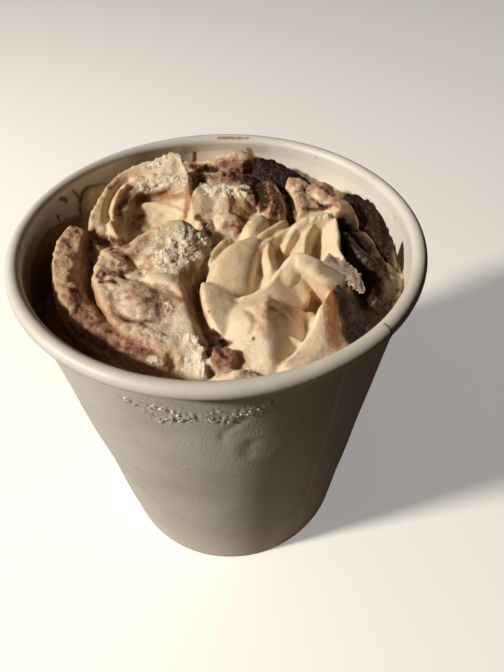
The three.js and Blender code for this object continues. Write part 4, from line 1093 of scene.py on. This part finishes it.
billow = np.abs(waver(points, 1.5, 71)) + 0.6 * np.abs(waver(points, 0.8, 72))
knobs = 2.2 * billow + 0.9 * waver(points, 2.4, 73) - 1.0
crag = waver(points, 1.7, 74) + 0.8 * waver(points, 0.8, 75)
rugged = np.clip(0.18 + 0.2 * tanned + 0.2 * smears, 0, 0.42) * (1 - satin) * (1 - frost)
push = 0.45 * np.clip(frost, 0, 1) * (knobs + 0.4) + rugged * crag + 0.12 * waver(points, 5, 76)
masks = {
    "smears": smears, "chocolate": chocolate, "frost": frost, "tanned": tanned, "satin": satin,
    "amber_and_shade": np.maximum(painted(on_folds, AMBER_AND_SHADE, 0.4), soaked_and_deep_shade), "sheen": painted(on_folds, SHEEN, 0.9),
    "pale": painted(plan, PALE), "greyed_and_shade": painted(on_folds, GREYED_AND_SHADE),
    # painted highlight: the frost whiter on the raised knobs of its relief
    "frost_knob_highlight": frost * np.clip(0.5 + knobs, 0, 1.4),
}
for name, values in masks.items():
    keep_mask(gelato, name, values)
for height, width, path in PRESSED:
    push += height * np.exp(-((nearness(path, on_folds)[0] / width) ** 2))
shifted = points + normals_of(gelato) * (push * (points[:, 2] > BED_FLOOR + 2))[:, None]
folds = points[:, 2] > BED_FLOOR
points[folds] = within_cup(shifted[folds])
place_points(gelato, points)
smooth(gelato)


def vanilla_finish():
    vanilla = Finish("vanilla_gelato", Subsurface_Weight=0.5, Subsurface_Scale=0.003,
                     Subsurface_Radius=(1.0, 0.55, 0.3), IOR=1.4)
    marble = vanilla.grain(2.6, 6, (1, 1, 1.6), 1.8, 0.6)
    swirl = vanilla.grain(7, 3, (1, 1, 1), 2.2)
    speck = vanilla.grain(0.8, 3)
    crystal = vanilla.grain(0.55, 4, roughness=0.65)
    uneven = 0.55 + 0.6 * marble + 0.3 * speck  # about 1
    frost = vanilla.mask("frost") * uneven
    tanned = vanilla.mask("tanned") * uneven
    smear = vanilla.mask("smears") * uneven
    amber_and_shade = vanilla.mask("amber_and_shade") * (0.7 + 0.6 * marble)
    dark = vanilla.mask("chocolate") * (0.75 + 0.5 * marble)
    colour = vanilla.blend(swirl.ramp(0.35, 0.7), tint("e4d0b3"), tint("d8be99"))
    colour = vanilla.blend(vanilla.mask("pale") * 0.8, colour, tint("f4e3ca"))
    colour = vanilla.blend(tanned.ramp(0.2, 1.1) * 0.8, colour, tint("c39a76"))
    # Warm brown: thin chocolate, and painted shade on flanks turned from the light and deep between the
    # folds.
    colour = vanilla.blend(amber_and_shade.ramp(0.1, 1.2) * 0.9, colour, tint("96602f"))
    colour = vanilla.blend(smear.ramp(0.08, 0.7) * 0.85, colour, tint("ad826a"))
    colour = vanilla.blend(smear.ramp(0.4, 1.05), colour, tint("7f4f3e"))
    colour = vanilla.blend(smear.ramp(0.9, 1.5), colour, tint("42281f"))
    colour = vanilla.blend(frost.ramp(0.25, 0.8) * 0.7, colour, tint("e3d3b6"))
    # Painted highlight: the frost whiter on the raised knobs of its relief.
    frost_knob_highlight = vanilla.mask("frost_knob_highlight") * uneven
    colour = vanilla.blend(frost_knob_highlight.ramp(0.2, 0.9) * 0.9, colour, tint("fbf2df"))
    # Chocolate, and painted dark shade in the grooves and on the crest's shaded side: an orange-brown
    # fringe round a near-black core.
    colour = vanilla.blend(dark.ramp(0.1, 0.55) * 0.9, colour, tint("85522f"))
    core = dark.ramp(0.4, 0.85)
    colour = vanilla.blend(core, colour, vanilla.blend(marble, tint("1e110a"), tint("45301f")))
    # Grey of thin gelato, and painted shade at the crest's end and the wall side.
    greyed_and_shade = vanilla.mask("greyed_and_shade") * uneven
    colour = vanilla.blend(greyed_and_shade.ramp(0.1, 1.0), colour, tint("85755f"))
    colour = vanilla.blend(vanilla.mask("sheen") * 0.6, colour, tint("7a6856"))
    wet = (tanned + smear).ramp(0.5, 1.6)
    rough = 0.5 - 0.3 * wet * speck.ramp(0.4, 0.6) + 0.12 * frost.ramp(0.3, 0.7) - 0.16 * core
    height = crystal * (1.15 - vanilla.mask("satin")) * (1 - 0.6 * core) + 0.4 * speck
    vanilla.surface(colour, rough, height, 0.3)
    return vanilla


vanilla = vanilla_finish()
vanilla.cover(gelato, "vanilla_gelato")
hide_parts("gelato")
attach(gelato, "root")

# ---- The torn sheet of gelato -----------------------------------------------------------
# Where the spatula left the crest it tore a thin ragged sheet off the gelato, which hangs from the
# hook. It is a third of a millimetre thick, grey like thin ice and darkened with painted shade, as it
# faces away from the light, and it has a pale fringe.


def tear(s, side, seed):
    """How far one edge of the sheet juts out at a place along it."""
    return noise.noise(Vector((s / 0.7, side, seed))) + 0.6 * noise.noise(Vector((s / 0.3, side, seed)))


def torn_sheet(name, path, across, width, seed):
    """A closed sheet along a path. `across` points from its middle to one edge."""
    line, run = crest_line(path, 0.35)
    across = Vector(across).normalized()
    stops = np.linspace(-1, 1, 15)
    top = []
    for at, s in zip(line, run):
        taper = math.sqrt(max(0.04, 1 - (s / run[-1]) ** 3))
        edges = [tear(s, side, seed) for side in (0, 5)]
        for t in stops:
            spread = t * width * taper * (1 + 0.55 * edges[0 if t < 0 else 1] * abs(t))
            wave = 0.35 * noise.noise(Vector((s / 1.6, t * 1.5, seed + 2)))
            top.append(at + np.array(across * spread) + (0, 0, wave - 0.1 * spread * spread))
    top = np.array(top)
    grid = top.reshape(len(line), len(stops), 3)
    facing = np.cross(np.gradient(grid, axis=0), np.gradient(grid, axis=1)).reshape(-1, 3)
    facing /= np.linalg.norm(facing, axis=1)[:, None]
    count, rows, columns = len(top), len(line), len(stops)
    quads = [(i * columns + j, (i + 1) * columns + j, (i + 1) * columns + j + 1, i * columns + j + 1)
             for i in range(rows - 1) for j in range(columns - 1)]
    border = list(range(columns)) + [i * columns + columns - 1 for i in range(1, rows)]
    border += [(rows - 1) * columns + j for j in range(columns - 2, -1, -1)]
    border += [i * columns for i in range(rows - 2, 0, -1)]
    faces = quads + [tuple(count + v for v in reversed(q)) for q in quads]
    faces += [(b, a, count + a, count + b) for a, b in zip(border, border[1:] + border[:1])]
    thick = 0.17 * (1 - 0.5 * np.abs(np.tile(stops, rows)))[:, None]
    sheet = mesh_piece(name, within_cup(np.vstack([top + thick * facing, top - thick * facing])), faces)
    only(sheet)
    bpy.ops.object.mode_set(mode="EDIT")
    bpy.ops.mesh.select_all(action="SELECT")
    bpy.ops.mesh.normals_make_consistent(inside=False)
    bpy.ops.object.mode_set(mode="OBJECT")
    smooth(sheet, 50)
    keep_mask(sheet, "fringe", np.tile(np.abs(np.tile(stops, rows)) ** 5, 2))
    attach(sheet, "root")
    return sheet


def torn_finish():
    torn = Finish("torn_sheet", IOR=1.4)
    cloud = torn.grain(1.6, 4)
    grit = torn.grain(0.6, 3)
    # Grey thin ice, darkened with painted shade as the sheet faces away from the light.
    colour = torn.blend(cloud.ramp(0.35, 0.65), tint("6e6052"), tint("94836f"))
    colour = torn.blend(torn.mask("fringe") * grit.ramp(0.3, 0.6), colour, tint("dccdb8"))
    torn.surface(colour, 0.5 + 0.1 * cloud, grit, 0.2)
    return torn


hook_sheet = torn_sheet(
    "hook_sheet", [(24, -10.3, -2.1), (27.5, -12.6, -2.4), (30, -15, -3), (32, -18, -4.6)],
    (-0.5, -0.75, -0.6), 2.1, 3)
torn_finish().cover(hook_sheet, "vanilla_gelato")

# ---- The thick chocolate ----------------------------------------------------------------
# Dark chocolate sauce that froze where it lay thick: a broad slab and a thin splinter on the
# right, and a glossy lump at the back. Each stands in the gelato with its foot.


def chocolate_piece(name, node, crags, *forms):
    piece = united(list(forms), name, 0.3)
    applied(piece, "SMOOTH", factor=0.5, iterations=1)
    points = points_of(piece)
    crag = waver(points, 2.2, 82) + 0.8 * waver(points, 0.9, 83)
    points += normals_of(piece) * (crags * crag)[:, None]
    place_points(piece, within_cup(points))
    smooth(piece)
    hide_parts(node)
    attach(piece, "root")
    return piece


def chocolate_finish():
    dark = Finish("dark_chocolate", IOR=1.45, Specular_IOR_Level=0.25)
    cloud = dark.grain(2.6, 5, (1, 1, 0.5), 0.8)
    streak = dark.grain(1.4, 3, (1, 1, 0.2))
    grit = dark.grain(0.5, 3)
    colour = dark.blend(cloud.ramp(0.35, 0.75), tint("1e110a"), tint("38231a"))
    colour = dark.blend(streak.ramp(0.58, 0.78) * 0.5, colour, tint("5e4335"))
    colour = dark.blend(grit.ramp(0.58, 0.7) * 0.5, colour, tint("85705f"))
    colour = dark.blend(dark.mask("rind"), colour, tint("a78660"))
    dark.surface(colour, 0.72 - 0.2 * cloud, grit + 0.6 * streak, 0.12)
    return dark


dark = chocolate_finish()
slab = chocolate_piece(
    "broad_slab", "chocolate_slab", 0.16,
    fold([(32.2, 19.6, -3.3), (36.4, 20.3, -4.4), (39.7, 17.6, -5.6), (40.7, 12.4, -6.6),
          (40.7, 7, -7.4), (40.5, 2, -7.8), (40.3, -1.5, -8.6)],
         (1.2, 9, 1.6), (9.5, 5, 1.1), rough=0.08, ribs=0.6, torn=0.8, seed=49))
back_lump = chocolate_piece(
    "back_lump", "chocolate_lump", 0.36,
    fold([(9.5, 38.4, -2.4), (13.5, 36, -2.6), (17.5, 34, -3.6), (21.5, 32, -5), (25, 30.6, -6.6)],
         (2, 5, 1.8), (6, 5, 1.8), rough=0.45, seed=50))
splinter = chocolate_piece(
    "wall_splinter", "chocolate_splinter", 0.1,
    fold([(41.3, 1.2, -2.9), (41.9, -2, -5.3), (42.7, -5.6, -8.2)],
         (1, 4, 1.2), (1.2, 4, 1.2), ends=(1.5, 1.5), torn=0.3, seed=51))
for piece in (slab, back_lump, splinter):
    dark.cover(piece, "dark_chocolate")
tan_rind = [(0.9, 0.8, [(41.2, -3, -6), (41.8, -4.6, -7.2), (42.4, -6, -8.8)])]
keep_mask(splinter, "rind", painted(from_rim(points_of(splinter)), tan_rind))

# ---- Frost, crumbs and damp beads -------------------------------------------------------
# Flakes of ice stand out of the torn gelato, crumbs of chocolate lie by the thick pieces, beads
# of condensation hang in the puckers under the rim, and melted gelato glistens in tiny drops.


SPOTS_ABOVE = 94  # no small thing lies in the depth or touches the limit of the rim
SPOTS_BELOW = 105.2


def strewn(name, seed_piece, placements):
    """Copies of one small closed mesh, each by its own matrix, as one piece."""
    shape = points_of(seed_piece) * MM
    loops = [tuple(face.vertices) for face in seed_piece.data.polygons]
    points, faces = [], []
    for matrix in placements:
        turn = np.array(matrix.to_3x3())
        faces += [tuple(v + len(points) * len(shape) for v in loop) for loop in loops]
        points.append(shape @ turn.T + np.array(matrix.translation))
    piece = mesh_piece(name, np.vstack(points) / MM, faces)
    bpy.data.objects.remove(seed_piece)
    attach(piece, "root")
    return piece


def small_shape(subdivisions, jitter, seed):
    nothing_selected()
    bpy.ops.mesh.primitive_ico_sphere_add(subdivisions=subdivisions, radius=1)
    shape = bpy.context.object
    if jitter:
        bpy.ops.object.mode_set(mode="EDIT")
        bpy.ops.mesh.select_all(action="SELECT")
        bpy.ops.transform.vertex_random(offset=jitter, seed=seed)
        bpy.ops.object.mode_set(mode="OBJECT")
    return shape


def surface_spots(piece, mask, least, count, seed):
    """Places and normals on a piece where a painted mask is at least this strong."""
    values = np.empty(len(piece.data.vertices), np.float32)
    piece.data.attributes[mask].data.foreach_get("value", values)
    draw = random.Random(seed)
    upper = [v.index for v in piece.data.vertices
             if v.normal.z > 0.05 and SPOTS_ABOVE * MM < v.co.z < SPOTS_BELOW * MM
             and values[v.index] > least + 0.5 * draw.random()]
    chosen = draw.sample(upper, min(count, len(upper)))
    return [(piece.data.vertices[i].co.copy(), piece.data.vertices[i].normal.copy()) for i in chosen]


def placed(spot, size, chance):
    """A matrix for one small flat shape, about size millimetres long, half sunk in the surface."""
    at, normal = spot
    ranges = ((0.7, 1.2), (0.5, 0.8), (0.25, 0.5))
    scale = [size * MM * chance.uniform(low, high) for low, high in ranges]
    lean = normal + Vector([chance.gauss(0, 0.35) for _ in range(3)])
    spin = Matrix.Rotation(chance.uniform(0, 6.28), 4, "Z")
    turn = lean.to_track_quat("Z", "Y").to_matrix().to_4x4() @ spin
    return Matrix.Translation(at) @ turn @ Matrix.Diagonal((*scale, 1))


chance = random.Random(5)
spots = surface_spots(gelato, "frost", 0.3, 2600, 6)
crystals = strewn("frost_crystals", small_shape(1, 0.3, 7),
                  [placed(spot, chance.uniform(0.1, 0.26), chance) for spot in spots])


def frost_finish():
    ice = Finish("frost_crystals", IOR=1.31, Specular_IOR_Level=0.1)
    cloud = ice.grain(1.2, 2)
    ice.surface(ice.blend(cloud.ramp(0.3, 0.7), tint("fff8ea"), tint("fdecd4")), 0.8 + 0.1 * cloud)
    return ice


frost_finish().cover(crystals, "vanilla_gelato")
smooth(crystals)

spots = surface_spots(gelato, "chocolate", 0.4, 160, 8)
crumbs = strewn("chocolate_crumbs", small_shape(2, 0.4, 9),
                [placed(spot, chance.uniform(0.2, 0.6), chance) for spot in spots])
dark.cover(crumbs, "dark_chocolate")
smooth(crumbs, 40)


def bead_places():
    places = []
    for strength, width, path in PUCKERS:
        path = np.array(on_wall(path))
        lengths = np.linalg.norm(np.diff(path, axis=0), axis=1)
        for _ in range(int(lengths.sum() * strength * 2.2)):
            i = chance.choices(range(len(lengths)), lengths)[0]
            at = path[i] + (path[i + 1] - path[i]) * chance.random()
            places.append(at + np.array([chance.gauss(0, width * 0.6) for _ in at]))
    return places


def bead_matrix(place):
    angle = math.radians(place[0] / ARC_MM)
    z = CUP_HEIGHT + place[1]
    out = Vector((math.sin(angle), -math.cos(angle), 0))
    size = chance.uniform(0.08, 0.24) * MM
    turn = out.to_track_quat("Z", "Y").to_matrix().to_4x4()
    flat = Matrix.Diagonal((size * chance.uniform(0.8, 1.8), size, size * 0.6, 1))
    return Matrix.Translation(out * (wall_outside(z) + 0.1) * MM + Vector((0, 0, z * MM))) @ turn @ flat


beads = strewn("condensation", small_shape(2, 0, 1), [bead_matrix(p) for p in bead_places()])

WET = [  # where melted gelato glistens
    (1, 1.0, [(-34, 1, -5), (-33.5, -1, -5.5)]), (1, 1.4, [(-31.5, -15, -5.5), (-29.5, -20, -6.5)]),
    (0.9, 1.6, [(-27.5, -24, -6.5), (-22, -28.5, -7)]), (1, 1.5, [(-17.5, -32.5, -7), (-13, -34, -7)]),
    (1, 1.6, [(-20.5, -14.5, -4.6), (-18, -18.5, -4.2)]), (0.9, 1.6, [(-25, -9, -5), (-22, -12, -5)]),
    (1, 1.2, [(-26.5, 15.5, -5.5), (-27, 12, -6)]), (1, 1.8, [(12.5, 27, -5), (13.5, 20, -5.5)]),
    (1, 1.2, [(24, 25.5, -3.5), (26.5, 25, -3.3)]), (0.8, 1.4, [(2, -31.5, -7), (4, -34, -7)]),
]
keep_mask(gelato, "wet", painted(from_rim(points_of(gelato)), WET))
spots = surface_spots(gelato, "wet", 0.3, 380, 11)
glints = strewn("wet_beads", small_shape(2, 0, 1),
                [placed(spot, chance.uniform(0.08, 0.18), chance) for spot in spots])


def bead_finish(name, first, second):
    water = Finish(name, IOR=1.33, Coat_Weight=1.0, Coat_Roughness=0.05)
    cloud = water.grain(3, 2)
    water.surface(water.blend(cloud.ramp(0.4, 0.6), tint(first), tint(second)), 0.15 + 0.1 * cloud)
    return water


# The condensation beads run from near white, a painted highlight for their sparkle, to the grey of the
# wall.
bead_finish("condensation", "f4f1ea", "b5ad9e").cover(beads, "cup_paper")
bead_finish("wet_beads", "c79f80", "a87b5e").cover(glints, "vanilla_gelato")
smooth(beads)
smooth(glints)

# ---- The floor and the light ------------------------------------------------------------
# A plain pale floor, which neither lights the cup from below nor hides the room's weak, warm
# fill from it. The one strong light stands on the left, a little in front and 33 degrees up.

nothing_selected()
bpy.ops.mesh.primitive_plane_add(size=6)
floor = bpy.context.object
floor.name = "floor"
plain = Finish("floor", Emission_Color=(1, 0.98, 0.95, 1), Emission_Strength=0.3)
plain.surface(plain.blend(plain.grain(400, 1), tint("f1efeb"), tint("edeae4")), 0.9)
floor.data.materials.append(plain.material)
floor.visible_diffuse = False
floor.visible_glossy = False

KEY_AZIMUTH = math.radians(-70)  # from the front, positive to the right
KEY_ELEVATION = math.radians(33)
KEY_DISTANCE = 0.9
KEY_FROM = Vector((math.sin(KEY_AZIMUTH), -math.cos(KEY_AZIMUTH), math.tan(KEY_ELEVATION))).normalized()


def disk_light(name, size, energy, colour, location):
    light = bpy.data.objects.new(name, bpy.data.lights.new(name, "AREA"))
    light.data.shape = "DISK"
    light.data.size = size
    light.data.energy = energy
    light.data.color = colour
    light.location = location
    bpy.context.scene.collection.objects.link(light)
    return light


key = disk_light("key", 0.1, 10.3, (1.0, 0.94, 0.84), Vector((0, 0, 0.08)) + KEY_FROM * KEY_DISTANCE)
key.rotation_euler = KEY_FROM.to_track_quat("Z", "Y").to_euler()
# The table throws a little warm light up at the foot.
glow = disk_light("table_glow", 0.12, 0.008, (1.0, 0.85, 0.7), (0.01, -0.095, 0.001))
glow.rotation_euler = (math.pi, 0, 0)
glow.visible_camera = False

room = bpy.data.worlds.new("room")
room.use_nodes = True
links = room.node_tree.links
seen = room.node_tree.nodes.new("ShaderNodeTexCoord")
axes = room.node_tree.nodes.new("ShaderNodeSeparateXYZ")
links.new(seen.outputs["Generated"], axes.inputs[0])


def fades(axis, start, end, first, last):
    """A factor that changes from first to last between two places on an axis of the room."""
    shade = room.node_tree.nodes.new("ShaderNodeMapRange")
    for name, value in zip(("From Min", "From Max", "To Min", "To Max"), (start, end, first, last)):
        shade.inputs[name].default_value = value
    links.new(axes.outputs[axis], shade.inputs["Value"])
    return shade.outputs[0]


def combined(operation, first, second):
    node = room.node_tree.nodes.new("ShaderNodeMath")
    node.operation = operation
    links.new(first, node.inputs[0])
    links.new(second, node.inputs[1])
    return node.outputs[0]


sky = combined("MULTIPLY", fades("X", -0.5, 0.45, 0.12, 0.006), fades("Z", -0.1, 0.9, 0.6, 1.15))
fill = combined("ADD", sky, fades("Z", -0.3, 0, 0.045, 0))
backdrop = room.node_tree.nodes["Background"]
backdrop.inputs["Color"].default_value = (1.0, 0.67, 0.45, 1)
links.new(fill, backdrop.inputs["Strength"])
bpy.context.scene.world = room
bpy.context.scene.view_settings.view_transform = "Standard"
